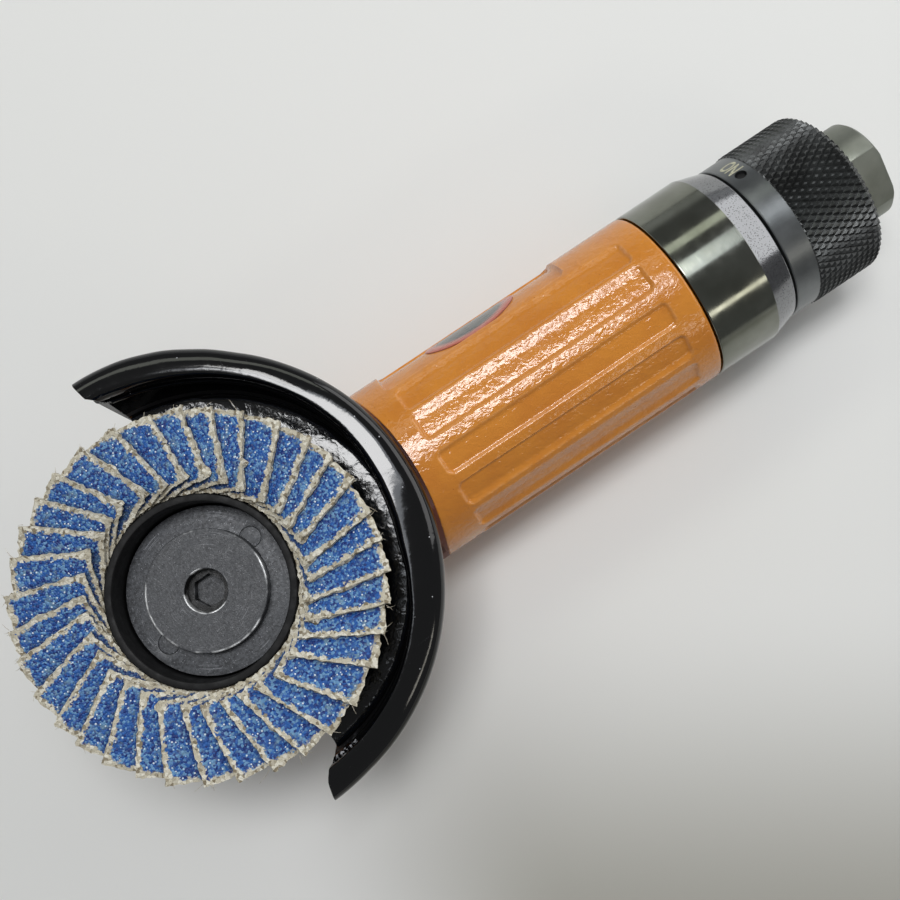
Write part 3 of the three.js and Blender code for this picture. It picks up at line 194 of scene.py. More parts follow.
def blackSteelShader(name, tone, light, rough, across, metallic):  # turned and blacked
    s = Shader(name)
    x = s.apart()["X"]
    rings = s.lines(x, 0.16, 3.0)
    cloud = s.grain(7, 4)
    colour = s.mix(s.step(cloud, 0.3, 0.75), tone, light)
    nicks = s.dots(1.3, 0.07, 0.03) * s.cloud(4, 2, 0.55, 0.63)
    colour = s.mix(nicks * 0.6, colour, paint(150, 152, 150))
    ridges = s.bump(rings, across)
    ridges = s.bump(s.grain(0.5, 3), 0.008, under=ridges)
    return s.surface({"Base Color": colour, "Metallic": metallic,
                     "Roughness": s.step(rings * 0.5 + cloud * 0.5, 0.35, 0.65, rough - 0.04, rough + 0.05),
                     "Normal": ridges})


def collarShader():  # polished black steel, its cone left coarser by the tool
    look = {"dark": paint(116, 118, 108), "light": paint(134, 136, 127), "cone": paint(138, 139, 141),
            "pit": paint(40, 41, 40), "nick": paint(205, 206, 204)}
    s = Shader("collarSteel")
    x = s.apart()["X"]
    onCone = s.step(x, 131.6 * mm, 131.9 * mm)
    colour = s.mix(s.cloud(8, 4, 0.3, 0.75), look["dark"], look["light"])
    colour = s.mix(onCone, colour, look["cone"])
    pits = s.dots(0.40, 0.34, 0.20) * s.cloud(0.8, 3, 0.36, 0.48)
    colour = s.mix(pits * onCone * 0.85, colour, look["pit"])
    colour = s.mix(s.dots(2.2, 0.05, 0.02) * s.cloud(5, 2, 0.5, 0.6), colour, look["nick"])
    rings = s.lines(x, 0.2, 3.0)
    relief = s.bump(rings * (1 - onCone) + s.grain(0.4, 3, 0.6) * onCone * 1.8, 0.006)
    return s.surface({"Base Color": colour, "Metallic": 1.0, "Normal": relief,
                     "Roughness": s.cloud(3, 4, 0.3, 0.7, 0.10, 0.16)})


def speckledShader():
    look = {"black": paint(58, 59, 62), "grey": paint(92, 94, 98), "fleck": paint(176, 178, 184),
            "pit": paint(26, 27, 28), "bright": paint(226, 227, 228), "sootAndShade": paint(9, 9, 10)}
    s = Shader("speckledBlack")
    xyz = s.apart()
    colour = s.mix(s.step(s.grain(0.55, 4, 0.7), 0.36, 0.64), look["black"], look["grey"])
    colour = s.mix(s.cloud(5, 4, 0.4, 0.75) * 0.4, colour, look["grey"])
    flecks = s.dots(0.42, 0.26, 0.14) * s.cloud(0.8, 3, 0.48, 0.58)
    colour = s.mix(flecks * 0.75, colour, look["fleck"])
    pits = s.step(s.cells(0.5, source=s.stretched((1.2, 0.9, 1))), 0.2, 0.1) * s.cloud(1.0, 3, 0.5, 0.6)
    colour = s.mix(pits * 0.8, colour, look["pit"])
    reach = s.reach(xyz)
    arc = s.step(s.lines(reach, 0.22, 2.0), 0.64, 0.7) * s.cloud(6, 3, 0.52, 0.62)  # rubbed by the spanner
    colour = s.mix(arc * 0.5, colour, look["fleck"])
    onScrew = s.step(reach, 12.62 * mm, 12.58 * mm) * s.step(xyz["Z"], 42 * mm, 42.2 * mm)
    colour = s.mix(onScrew * 0.45, colour, look["black"])
    # painted shade, partly soot: the counterbore ring is darkened, its middle less so
    grimeAndShade = s.step(reach, 4.42 * mm, 4.5 * mm, 1.0, 0.0) * s.step(reach, 2.9 * mm, 3.3 * mm, 0.35, 1.0)
    colour = s.mix(grimeAndShade, colour, look["sootAndShade"])
    # painted highlight: the top edges are worn bare and are also painted bright, standing in for the rim's
    # highlight
    worn = s.stored("rub") * s.step(s.grain(7, 3, 0.5), 0.50, 0.60)
    colour = s.mix(worn, colour, look["bright"])
    skin = s.bump(s.grain(0.38, 4, 0.65), 0.07)
    return s.surface({"Base Color": colour, "Metallic": worn * 0.7 + 0.1, "Specular IOR Level": 0.45,
                     "Roughness": s.cloud(0.9, 3, 0.3, 0.7, 0.40, 0.58), "Normal": skin})


def plasticShader():
    s = Shader("blackPlastic")
    colour = s.mix(s.cloud(3, 4, 0.35, 0.7), paint(11, 11, 12), paint(22, 22, 23))
    return s.surface({"Base Color": colour, "Specular IOR Level": 0.25,
                     "Roughness": s.cloud(2, 3, 0.3, 0.7, 0.5, 0.66), "Normal": s.bump(s.grain(0.4, 3), 0.03)})


def steelShader(name, tone, rough):
    s = Shader(name)
    dull, dark = (tuple(part * share for part in tone[:3]) + (1.0,) for share in (0.62, 0.35))
    colour = s.mix(s.cloud(4, 4, 0.3, 0.75), tone, dull)
    colour = s.mix(s.step(s.grain(1.1, 4, 0.7), 0.62, 0.72) * 0.5, colour, dark)
    brushed = s.grain(0.3, 3, 0.6, s.stretched((4, 1, 1)))
    return s.surface({"Base Color": colour, "Metallic": 1.0, "Normal": s.bump(brushed, 0.012),
                     "Roughness": s.step(brushed, 0.3, 0.7, rough - 0.07, rough + 0.1)})


def rubberShader():
    s = Shader("rubber")
    colour = s.mix(s.cloud(2, 4, 0.3, 0.7), paint(18, 18, 18), paint(36, 36, 37))
    return s.surface({"Base Color": colour, "Roughness": s.cloud(1, 3, 0.3, 0.7, 0.6, 0.8),
                     "Normal": s.bump(s.grain(0.3, 3), 0.02)})


def compositeShader():  # cotton cloth set in resin
    s = Shader("vaneComposite")
    xyz = s.apart()
    warp = s.maths("SINE", xyz["X"] * (math.tau / (0.7 * mm)))
    weft = s.maths("SINE", xyz["Z"] * (math.tau / (0.7 * mm)))
    weave = warp * weft * 0.5 + 0.5
    colour = s.mix(weave * 0.6 + s.grain(2, 3) * 0.4, paint(84, 52, 28), paint(128, 86, 48))
    return s.surface({"Base Color": colour, "Roughness": s.cloud(1, 3, 0.3, 0.7, 0.5, 0.66),
                     "Normal": s.bump(weave, 0.03)})


def badgeShader():
    look = {"plate": paint(112, 113, 110), "dark": paint(78, 80, 80), "rim": paint(186, 104, 88)}
    s = Shader("badgeEnamel")
    brushed = s.grain(0.5, 3, 0.6, s.stretched((0.12, 1, 1)))
    colour = s.mix(s.step(brushed, 0.3, 0.7), look["dark"], look["plate"])
    colour = s.mix(s.stored("rim"), colour, look["rim"])
    return s.surface({"Base Color": colour, "Metallic": 0.2, "Roughness": s.step(brushed, 0.3, 0.7, 0.24, 0.4),
                     "Coat Weight": 0.4, "Coat Roughness": 0.1, "Normal": s.bump(brushed, 0.01)})


def clothShader():
    look = {"blue": paint(34, 92, 168), "deep": paint(10, 40, 112), "pale": paint(118, 166, 206),
            "worn": paint(120, 152, 172), "cloth": paint(196, 189, 170), "shade": paint(132, 121, 100),
            "light": paint(232, 228, 214), "spark": paint(222, 232, 242), "under": paint(10, 26, 66)}
    s = Shader("abrasiveCloth")
    spot = s.apart(s.node("ShaderNodeUVMap", {"uv_map": "leaf"})["UV"])
    edge = spot["X"]    # mm from the free edge
    along = spot["Y"]   # share of the way from the inner end to the outer end
    ragged = s.grain(2.2, 4, 0.65)
    blocks = s.apart(s.cells(0.62, output="Color"))
    wander = (ragged - 0.5) * 3.6 + (blocks["X"] - 0.5) * 0.7
    width = s.step(along, 0.05, 0.34, 0.75, 0.0) + s.step(along, 0.8, 1.0, 0.0, 0.5)
    bareEdge = s.step(edge + wander - width, 0.95, 1.25, 1.0, 0.0)
    bareOuter = s.step((1 - along) * 15.6 + wander * 0.8 + edge * 0.12, 1.35, 1.75, 1.0, 0.0)
    bareInner = s.step(along * 15.2 + wander * 0.5, 0.62, 0.85, 1.0, 0.0)
    bareCorner = s.step(along * 15.2 + edge * 0.9 + wander * 1.1, 3.2, 3.6, 1.0, 0.0)
    bareEnds = s.maths("MAXIMUM", bareInner, bareCorner)
    bare = s.maths("MAXIMUM", s.maths("MAXIMUM", bareEdge, bareOuter), bareEnds)
    grit = s.cells(0.46)
    tone = s.apart(s.cells(0.46, output="Color"))
    blue = s.mix(s.step(tone["X"], 0.05, 0.75), look["deep"], look["blue"])
    blue = s.mix(s.step(tone["Z"], 0.62, 0.8) * 0.75, blue, look["pale"])
    thin = s.step(s.grain(2.6, 4, 0.6), 0.52, 0.66) * s.step(tone["Y"], 0.15, 0.6)
    blue = s.mix(thin * 0.7, blue, look["worn"])
    spark = s.step(tone["Y"], 0.90, 0.93) * s.step(grit, 0.5, 0.3)
    blue = s.mix(spark, blue, look["spark"])
    # painted shade: the blue darkens under the edge of the next leaf
    blue = s.mix(s.stored("under") * 0.6, blue, look["under"])
    cloth = s.mix(s.step(blocks["Y"], 0.05, 0.5), look["shade"], look["cloth"])
    cloth = s.mix(s.step(blocks["Z"], 0.62, 0.8) * 0.8, cloth, look["light"])
    cloth = s.mix(s.step(s.grain(0.34, 2, 0.6), 0.6, 0.7) * 0.5, cloth, look["shade"])
    colour = s.mix(bare, blue, cloth)
    threads = s.cells(0.31)
    height = (1 - bare) * (tone["X"] * 0.6 + (1 - grit) * 0.9)
    height = height + bare * (blocks["Z"] * 0.5 + (1 - threads) * 0.5)
    return s.surface({"Base Color": colour, "Roughness": 0.5 + bare * 0.38 - spark * 0.25,
                     "Normal": s.bump(height, 0.30, 0.9)})


def threadShader():
    s = Shader("clothThread")
    colour = s.mix(s.cloud(0.5, 3, 0.3, 0.7), paint(150, 140, 122), paint(208, 201, 186))
    return s.surface({"Base Color": colour, "Roughness": 0.8, "Normal": s.bump(s.grain(0.15, 2), 0.02)})


def letterShader():
    s = Shader("etchedLetter")
    colour = s.mix(s.cloud(0.6, 4, 0.3, 0.7), paint(158, 157, 134), paint(200, 197, 172))
    return s.surface({"Base Color": colour, "Metallic": 0.1, "Roughness": s.cloud(0.4, 3, 0.3, 0.7, 0.4, 0.6),
                     "Normal": s.bump(s.grain(0.2, 3), 0.02)})


orangePaint = orangePaintShader()
blackPaint = blackPaintShader()
collarSteel = collarShader()
bandSteel = blackSteelShader("bandSteel", paint(104, 107, 108), paint(124, 127, 128), 0.33, 0.012, 0.9)
knurlSteel = blackSteelShader("knurlSteel", paint(52, 53, 53), paint(76, 78, 78), 0.32, 0.004, 0.75)
inletSteel = blackSteelShader("inletSteel", paint(122, 125, 116), paint(140, 143, 134), 0.42, 0.010, 0.85)
# painted shade: the drive pin is coloured near-black, as the shade in its hole
shadedPinSteel = blackSteelShader("shadedPinSteel", paint(14, 14, 15), paint(24, 24, 25), 0.5, 0.004, 0.2)
speckledBlack = speckledShader()
blackPlastic = plasticShader()
bareSteel = steelShader("bareSteel", paint(190, 192, 195), 0.32)
aluminium = steelShader("aluminium", paint(205, 206, 208), 0.4)
brass = steelShader("brass", paint(201, 169, 92), 0.34)
rubber = rubberShader()
vaneComposite = compositeShader()
badgeEnamel = badgeShader()
abrasiveCloth = clothShader()
clothThread = threadShader()
etchedLetter = letterShader()
print("finishes made:", len(bpy.data.materials))


def spun(points, axis, steps, closed=True):
    bm = bmesh.new()
    verts = [bm.verts.new(point) for point in points]
    edges = [bm.edges.new(pair) for pair in zip(verts, verts[1:])]
    if closed:
        edges.append(bm.edges.new((verts[-1], verts[0])))
    centre = (0, 0, axisHeight) if axis[0] else (0, 0, 0)
    bmesh.ops.spin(bm, geom=verts + edges, cent=centre, axis=axis, angle=math.tau, steps=steps,
                   use_merge=True, use_duplicate=False)
    bmesh.ops.remove_doubles(bm, verts=bm.verts, dist=1e-4)
    bmesh.ops.recalc_face_normals(bm, faces=bm.faces)
    return bm


def turnedBarrel(profile, steps, closed=True):  # pairs of station and radius
    return spun([(station, 0, axisHeight + radius) for station, radius in profile], (1, 0, 0), steps, closed)


def turnedSpindle(profile, steps, closed=True):  # pairs of radius and height
    return spun([(radius, 0, height) for radius, height in profile], (0, 0, 1), steps, closed)


def soften(bm, width, segments=2, angle=28, test=None):
    sharp = [edge for edge in bm.edges if len(edge.link_faces) == 2
             and edge.calc_face_angle(0) > math.radians(angle) and (test is None or test(edge))]
    bmesh.ops.bevel(bm, geom=sharp, offset=width, offset_type="OFFSET", segments=segments,
                    profile=0.5, affect="EDGES", clamp_overlap=True, material=-1)


def asObject(name, bm):
    mesh = bpy.data.meshes.new(name)
    bm.to_mesh(mesh)
    bm.free()
    obj = bpy.data.objects.new(name, mesh)
    bpy.context.scene.collection.objects.link(obj)
    return obj


def evaluated(obj):  # what its modifiers make of it, and the object goes
    bm = bmesh.new()
    made = obj.evaluated_get(bpy.context.evaluated_depsgraph_get())
    bm.from_mesh(made.to_mesh())
    made.to_mesh_clear()
    bpy.data.objects.remove(obj)
    return bm


def carved(bm, tool, operation="DIFFERENCE"):
    blank = asObject("blank", bm)
    cutter = asObject("cutter", tool)
    knife = blank.modifiers.new("knife", "BOOLEAN")
    knife.operation = operation
    knife.solver = "EXACT"
    knife.object = cutter
    made = evaluated(blank)
    bpy.data.objects.remove(cutter)
    return made


def bar(radius, low, high, sides):  # an upright round bar
    bm = bmesh.new()
    bmesh.ops.create_cone(bm, cap_ends=True, segments=sides, radius1=radius, radius2=radius,
                          depth=high - low, matrix=Matrix.Translation((0, 0, (low + high) / 2)))
    return bm


def block(size, middle):
    bm = bmesh.new()
    bmesh.ops.create_cube(bm, size=1)
    bmesh.ops.scale(bm, vec=size, verts=bm.verts)
    bmesh.ops.translate(bm, vec=middle, verts=bm.verts)
    return bm


def polar(reach, angle, height=0.0):  # a point at a distance and an angle in degrees about the spindle
    return Vector((reach * math.cos(math.radians(angle)), reach * math.sin(math.radians(angle)), height))


def between(marks, value):  # read off a table of pairs
    for (low, first), (high, last) in zip(marks, marks[1:]):
        if low <= value <= high:
            return first + (last - first) * (value - low) / (high - low)


def aroundBarrel(bm, station, angle):  # from upright at the spindle to leaned on the barrel
    turn = Matrix.Translation((station, 0, axisHeight)) @ Matrix.Rotation(math.radians(angle), 4, "X")
    bmesh.ops.transform(bm, matrix=turn, verts=bm.verts)
    return bm


def added(bm, other):  # other's shells join bm
    spare = bpy.data.meshes.new("spare")
    other.to_mesh(spare)
    other.free()
    bm.from_mesh(spare)
    bpy.data.meshes.remove(spare)
    return bm


def piece(name, bm, body, shader, stands=(), sharp=35):
    bmesh.ops.scale(bm, vec=(mm, mm, mm), verts=bm.verts)
    obj = asObject(name, bm)
    obj.data.polygons.foreach_set("use_smooth", [True] * len(obj.data.polygons))
    obj.data.set_sharp_from_angle(angle=math.radians(sharp))
    obj.data.materials.append(shader.material)
    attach(obj, body)
    if stands:
        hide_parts(*stands)
    print("piece", name, len(obj.data.polygons))
    return obj


def barrelSpot(co):  # radius from the barrel axis, and the angle from the top towards -Y
    return math.hypot(co.y, co.z - axisHeight), math.degrees(math.atan2(-co.y, co.z - axisHeight))


def onBarrel(station, radius, lean):  # lean in radians from the top towards -Y
    return station, -radius * math.sin(lean), axisHeight + radius * math.cos(lean)


def drawnIn(vert, share):  # towards the barrel's axis
    vert.co.y *= share
    vert.co.z = axisHeight + (vert.co.z - axisHeight) * share


def eased(value, low, high):
    share = min(1, max(0, (value - low) / (high - low)))
    return share * share * (3 - 2 * share)


def stations(*runs):  # (start, end, count) runs of evenly spaced stations
    spots = []
    for start, end, count in runs:
        spots += [start + (end - start) * i / count for i in range(count)]
    return spots + [runs[-1][1]]


housing = {
    "front": 43.8, "rear": 116.8, "radius": 21.0, "bore": 17.5, "frontBore": 10.3, "boreFront": 52.5,
    "edge": 0.7, "columns": 450,
    # each flute from angle to angle, and how wide its two sloping sides are in mm
    "flutes": [(-42, -23, 1.9, 0.8), (-20.6, -1.4, 2.7, 0.5), (6.6, 22.6, 1.2, 0.45), (29, 46.4, 0.55, 1.6),
               (50.6, 70.5, 3.4, 2.4)] + [(turn, turn + 17, 0.8, 0.8) for turn in range(76, 260, 24)],
    "fluteSpan": (53.8, 111.0), "fluteDepth": 0.72, "fluteEnd": 0.8,
    "labelCentre": -70.4, "labelHalf": 24.6, "labelSpan": (52.3, 98.4), "labelDepth": 1.25,
    "labelSlope": 0.5, "scoop": 49.05, "scoopFloor": 38.6, "cast": 0.035,
    "bendFrom": 44.6, "bendTo": 52,  # where the rings bend with the seat of the guard's lip
    # where its rings of vertices lie, closest where pockets start and end
    "rings": [(44.5, 49, 10), (49, 49.15, 1), (49.15, 49.05, 1), (49.05, 52, 7), (52, 55.4, 12), (55.4, 96, 26),
              (96, 101, 14), (101, 110, 7), (110, 112.4, 9), (112.4, 116.1, 4)],
}


def boxDistance(across, along, halfWidth, halfLength, corner):  # below zero inside a rounded box
    dx = abs(across) - halfWidth + corner
    dy = abs(along) - halfLength + corner
    return math.hypot(max(dx, 0), max(dy, 0)) + min(max(dx, dy), 0) - corner


def housingDips(station, angle):  # the depth of every pocket here, and how near a brink is
    h = housing
    depth, brink = 0.0, 0.0
    for low, high, lowSide, highSide in h["flutes"]:
        for turned in (angle, angle + 360):
            if not low - 2 < turned < high + 2:
                continue
            toLow = math.radians(turned - low) * h["radius"]
            toHigh = math.radians(high - turned) * h["radius"]
            toEnd = min(station - h["fluteSpan"][0], h["fluteSpan"][1] - station)
            corner = min(toLow, toHigh, 1.1) + min(toEnd, 1.1) - 1.1  # cuts the corners
            toEnd = min(toEnd, corner * 1.3 if corner < 0.9 else toEnd)
            depth = min(sunk(toLow, lowSide), sunk(toHigh, highSide), sunk(toEnd, h["fluteEnd"]))
            depth *= h["fluteDepth"]
            brink = 1 - eased(abs(min(toLow, toHigh, toEnd)), 0.0, 0.5)
    labelMiddle = sum(h["labelSpan"]) / 2
    labelHalfLong = (h["labelSpan"][1] - h["labelSpan"][0]) / 2
    across = math.radians(angle - h["labelCentre"]) * h["radius"]
    inside = -boxDistance(across, station - labelMiddle, math.radians(h["labelHalf"]) * h["radius"],
                          labelHalfLong, 2.0)
    depth = max(depth, h["labelDepth"] * sunk(inside, h["labelSlope"]))
    return depth, max(brink, 1 - eased(abs(inside), 0.0, 0.6))


def sunk(inside, side):  # a crisp brink, a slope, and a round foot
    share = min(1, max(0, inside / side))
    return share * (2 - share) * 0.75 + eased(share, 0, 1) * 0.25


def makeHousing():
    h = housing
    outer = stations(*h["rings"])
    rim = [(h["radius"] - h["edge"] * (1 - math.sin(a)), h["edge"] * (1 - math.cos(a)))
           for a in (0.0, 0.5, 1.05)]
    profile = [(h["front"], h["frontBore"])]
    profile += [(h["front"] + inset, radius) for radius, inset in rim]
    profile += [(station, h["radius"]) for station in outer]
    profile += [(h["rear"] - inset, radius) for radius, inset in reversed(rim)]
    profile += [(h["rear"], h["bore"]), (h["boreFront"], h["bore"]), (h["boreFront"], h["frontBore"])]
    bm = turnedBarrel(profile, h["columns"])
    brinkLayer = bm.verts.layers.float.new("brink")
    grimeAndShadeLayer = bm.verts.layers.float.new("grimeAndShade")
    for vert in bm.verts:
        radius, angle = barrelSpot(vert.co)
        if radius < 18:
            continue
        depth, brink = housingDips(vert.co.x, angle)
        lump = noise.noise(vert.co * 0.42) * h["cast"] + noise.noise(vert.co * 0.11) * h["cast"] * 1.6
        if radius > h["radius"] - 0.01:
            drawnIn(vert, (radius - depth + min(lump, 0)) / radius)
            vert[brinkLayer] = brink
        if radius > 20 and h["bendFrom"] < vert.co.x < h["bendTo"] and vert.co.z > axisHeight:
            inScoop = vert.co.x < h["scoop"] - 0.01
            bend = math.sqrt(h["scoop"] ** 2 - vert.co.y ** 2) - h["scoop"]
            bend *= min(1, (h["bendTo"] - vert.co.x) / (h["bendTo"] - h["scoop"]))
            vert.co.x += bend * min(1, (vert.co.x - h["bendFrom"]) / 2)
            if inScoop:
                vert.co.z = min(vert.co.z, h["scoopFloor"])
                # the scoop's shelf is marked for painted shade and grime
                vert[grimeAndShadeLayer] = 1.0
    return piece("motorHousingShell", bm, "tool_body", orangePaint, ["motor_housing"], 50)


makeHousing()


head = {
    "radius": 17.0, "foot": 1.8, "shoulder": 28.3, "neck": 14.5, "neckTop": 33.9,
    "flare": [(0, 15.98), (13.05, 16.5), (26.1, 17.75), (34.8, 19.5), (38.3, 20.6), (40.9, 21), (43.5, 21)],
    "spigot": 10.0, "spigotEnd": 48.5, "stemTop": 32.4, "relief": 17.3, "voxel": 0.55, "smoothings": 5,
    "floor": 2.3, "chamber": 10.7, "chamberTop": 36, "room": 0.3,  # room is left round every bearing
    "tunnel": [(0, 0), (0, 6), (17.7, 6), (17.7, 8.3), (50, 8.3), (50, 0)],
}


def makeHead():
    h = head
    foot = [(h["radius"] - h["foot"] * (1 - math.sin(a)), h["foot"] * (1 - math.cos(a)))
            for a in (0, 0.4, 0.8, 1.2, math.pi / 2)]
    upright = turnedSpindle([(0, 0)] + foot + [(h["radius"], h["shoulder"]), (h["neck"], h["shoulder"]),
                                              (h["neck"], h["neckTop"]), (0, h["neckTop"])], 128, False)
    stem = turnedBarrel([(0, 0)] + h["flare"] + [(43.5, h["spigot"]), (h["spigotEnd"], h["spigot"]),
                                                (h["spigotEnd"], 0)], 128, False)
    for vert in stem.verts:
        vert.co.z = min(vert.co.z, h["stemTop"])
    bmesh.ops.triangulate(stem, faces=stem.faces)
    stem = carved(stem, bar(h["relief"], h["shoulder"], 45, 96))
    both = asObject("casting", added(upright, stem))
    skin = both.modifiers.new("skin", "REMESH")
    skin.mode = "VOXEL"
    skin.voxel_size = h["voxel"]
    bm = evaluated(both)
    for _ in range(h["smoothings"]):
        bmesh.ops.smooth_vert(bm, verts=bm.verts, factor=0.5, use_axis_x=True, use_axis_y=True, use_axis_z=True)
    lowRing, highRing = (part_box(name) for name in ("spindle_lower_bearing", "spindle_upper_bearing"))
    room, top = h["room"], highRing[1].z / mm
    lowWall, highWall = lowRing[1].x / mm + room, highRing[1].x / mm + room
    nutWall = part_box("bearing_retainer_nut")[1].x / mm + room
    lowShelf, highShelf = lowRing[1].z / mm + room, highRing[0].z / mm - room
    chamber = turnedSpindle([
        (0, h["floor"]), (lowWall, h["floor"]), (lowWall, lowShelf), (h["chamber"], lowShelf),
        (h["chamber"], highShelf), (highWall, highShelf), (highWall, top), (nutWall, top),
        (nutWall, h["chamberTop"]), (0, h["chamberTop"])], 96, False)
    tunnel = turnedBarrel(h["tunnel"], 64, False)
    bm = carved(carved(bm, chamber), tunnel)
    for vert in bm.verts:
        if barrelSpot(vert.co)[0] > 8.4 and math.hypot(vert.co.x, vert.co.y) > 12.8:
            vert.co += vert.normal * noise.noise(vert.co * 0.3) * 0.05
        vert.co.z = max(vert.co.z, 0)
    bm.verts.layers.float.new("brink")
    return piece("angleHeadCasting", bm, "tool_body", orangePaint, ["angle_head"], 50)


makeHead()


badge = {
    "centre": 76.0, "length": 23.0, "height": 14.5, "low": 19.72, "angle": -70.4,
    # share of the way out, and thickness
    "profile": [(0, 0.0), (1, 0.0), (1, 0.24), (0.985, 0.3), (0.96, 0.33), (0.85, 0.33), (0.83, 0.27),
                (0.7, 0.27), (0.5, 0.27), (0.3, 0.27), (0.15, 0.27), (0, 0.27)],
}


def makeBadge():
    b = badge
    bm = turnedSpindle(b["profile"], 96, False)
    rimLayer = bm.verts.layers.float.new("rim")
    for vert in bm.verts:
        reach = math.hypot(vert.co.x, vert.co.y)
        vert[rimLayer] = 1.0 if reach > 0.82 and vert.co.z > 0.1 else 0.0
        lean = math.radians(b["angle"]) + vert.co.y * b["height"] / 2 / b["low"]
        vert.co = onBarrel(b["centre"] + vert.co.x * b["length"] / 2, b["low"] + vert.co.z, lean)
    bmesh.ops.recalc_face_normals(bm, faces=bm.faces)
    return piece("badgePlate", bm, "tool_body", badgeEnamel, ["badge"], 40)


makeBadge()


collar = {
    "profile": [(103.2, 13.0), (103.2, 17.2), (112.25, 17.2), (112.25, 16.2), (113.95, 16.2), (113.95, 17.2),
                (117.1, 17.2), (117.1, 21.0), (131.7, 21.0), (137.6, 19.2), (137.6, 13.0)],
    "steps": 288, "edge": 0.3,
}


def makeCollar():
    c = collar
    bm = turnedBarrel(c["profile"], c["steps"])
    soften(bm, c["edge"], 3, 30, lambda edge: barrelSpot(edge.verts[0].co)[0] > 19)
    return piece("rearCollarBody", bm, "tool_body", collarSteel, ["rear_collar"], 12)


makeCollar()


sleeve = {
    "front": 138.1, "rear": 161.0, "band": 19.15, "bandEnd": 144.0, "bore": 14.3, "counterbore": 16.2,
    "counterStart": 158.8, "outer": 19.5, "knurlDepth": 0.5, "around": 70, "rows": 12, "topInset": 0.5,
    "round": 2.0, "edge": 0.35, "hole": 1.3, "holeStation": 141.3, "holeAngle": -37.0,
}


def only(items, kind):
    return [item for item in items if isinstance(item, kind)]


def ringMoved(bm, edges, station, radius):  # extrudes a loop of edges and sets where its new ring lies
    made = bmesh.ops.extrude_edge_only(bm, edges=edges)["geom"]
    for vert in only(made, bmesh.types.BMVert):
        drawnIn(vert, radius / barrelSpot(vert.co)[0])
        vert.co.x = station
    return only(made, bmesh.types.BMEdge)


def makeSleeve():
    k = sleeve
    pitch = (k["rear"] - k["bandEnd"]) / k["rows"]
    half = math.pi / k["around"]
    valley = k["outer"] - k["knurlDepth"]
    bm = bmesh.new()
    corners = [(-pitch, 0), (0, -half), (pitch, 0), (0, half)]
    face = bm.faces.new([bm.verts.new(onBarrel(k["bandEnd"] + dx, valley, lean)) for dx, lean in corners])
    bm.normal_update()
    if face.normal.z < 0:
        face.normal_flip()
    bmesh.ops.inset_region(bm, faces=[face], thickness=k["topInset"], depth=k["knurlDepth"],
                           use_even_offset=True, use_boundary=True)
    seed = bm.verts[:] + bm.edges[:] + bm.faces[:]
    bmesh.ops.spin(bm, geom=seed, cent=(0, 0, axisHeight), axis=(1, 0, 0), steps=k["around"] - 1,
                   angle=math.tau * (k["around"] - 1) / k["around"], use_duplicate=True)
    rowGeom = bm.verts[:] + bm.edges[:] + bm.faces[:]
    for row in range(1, k["rows"] + 1):
        copy = bmesh.ops.duplicate(bm, geom=rowGeom)["geom"]
        turn = Matrix.Translation((0, 0, axisHeight)) @ Matrix.Rotation(half * (row % 2), 4, "X")
        turn = Matrix.Translation((pitch * row, 0, 0)) @ turn @ Matrix.Translation((0, 0, -axisHeight))
        bmesh.ops.transform(bm, matrix=turn, verts=only(copy, bmesh.types.BMVert))
    bmesh.ops.remove_doubles(bm, verts=bm.verts, dist=0.02)
    for spot, side in ((k["bandEnd"] + 0.3, -1), (k["rear"] - 0.06, 1)):
        bmesh.ops.bisect_plane(bm, geom=bm.verts[:] + bm.edges[:] + bm.faces[:], dist=1e-4,
                               plane_co=(spot, 0, 0), plane_no=(side, 0, 0), clear_outer=True)
    bmesh.ops.remove_doubles(bm, verts=bm.verts, dist=0.01)
    for vert in bm.verts:  # the rounded rear edge
        over = vert.co.x - (k["rear"] - k["round"])
        if over > 0:
            drop = k["round"] - math.sqrt(max(0, k["round"] ** 2 - over ** 2))
            drawnIn(vert, 1 - drop / barrelSpot(vert.co)[0])
    rims = [edge for edge in bm.edges if edge.is_boundary]
    front = [edge for edge in rims if edge.verts[0].co.x < k["bandEnd"] + 2]
    rear = [edge for edge in rims if edge.verts[0].co.x > k["rear"] - 2]
    for station, radius in ((k["bandEnd"] + 0.05, k["band"]), (k["front"] + k["edge"], k["band"]),
                            (k["front"] + 0.1, k["band"] - 0.12), (k["front"], k["band"] - k["edge"]),
                            (k["front"], k["bore"])):
        front = ringMoved(bm, front, station, radius)
    for station, radius in ((k["rear"], k["outer"] - k["round"] - 0.3), (k["rear"], k["counterbore"]),
                            (k["counterStart"], k["counterbore"]), (k["counterStart"], k["bore"])):
        rear = ringMoved(bm, rear, station, radius)
    bmesh.ops.bridge_loops(bm, edges=front + rear)
    bmesh.ops.recalc_face_normals(bm, faces=bm.faces)
    bm = carved(bm, aroundBarrel(bar(k["hole"], 10, 30, 32), k["holeStation"], k["holeAngle"]))
    bmesh.ops.triangulate(bm, faces=[face for face in bm.faces if len(face.verts) > 4])
    obj = piece("throttleSleeveKnurled", bm, "throttle", knurlSteel, ["throttle_sleeve"], 24)
    obj.data.materials.append(bandSteel.material)
    for polygon in obj.data.polygons:
        if polygon.center.x < (k["bandEnd"] + 0.04) * mm:
            polygon.material_index = 1
    return obj


makeSleeve()


letters = {"text": "ON", "size": 5.2, "narrow": 0.56, "station": 141.15, "angle": -48.2, "lift": 0.03,
           "bold": 0.12}


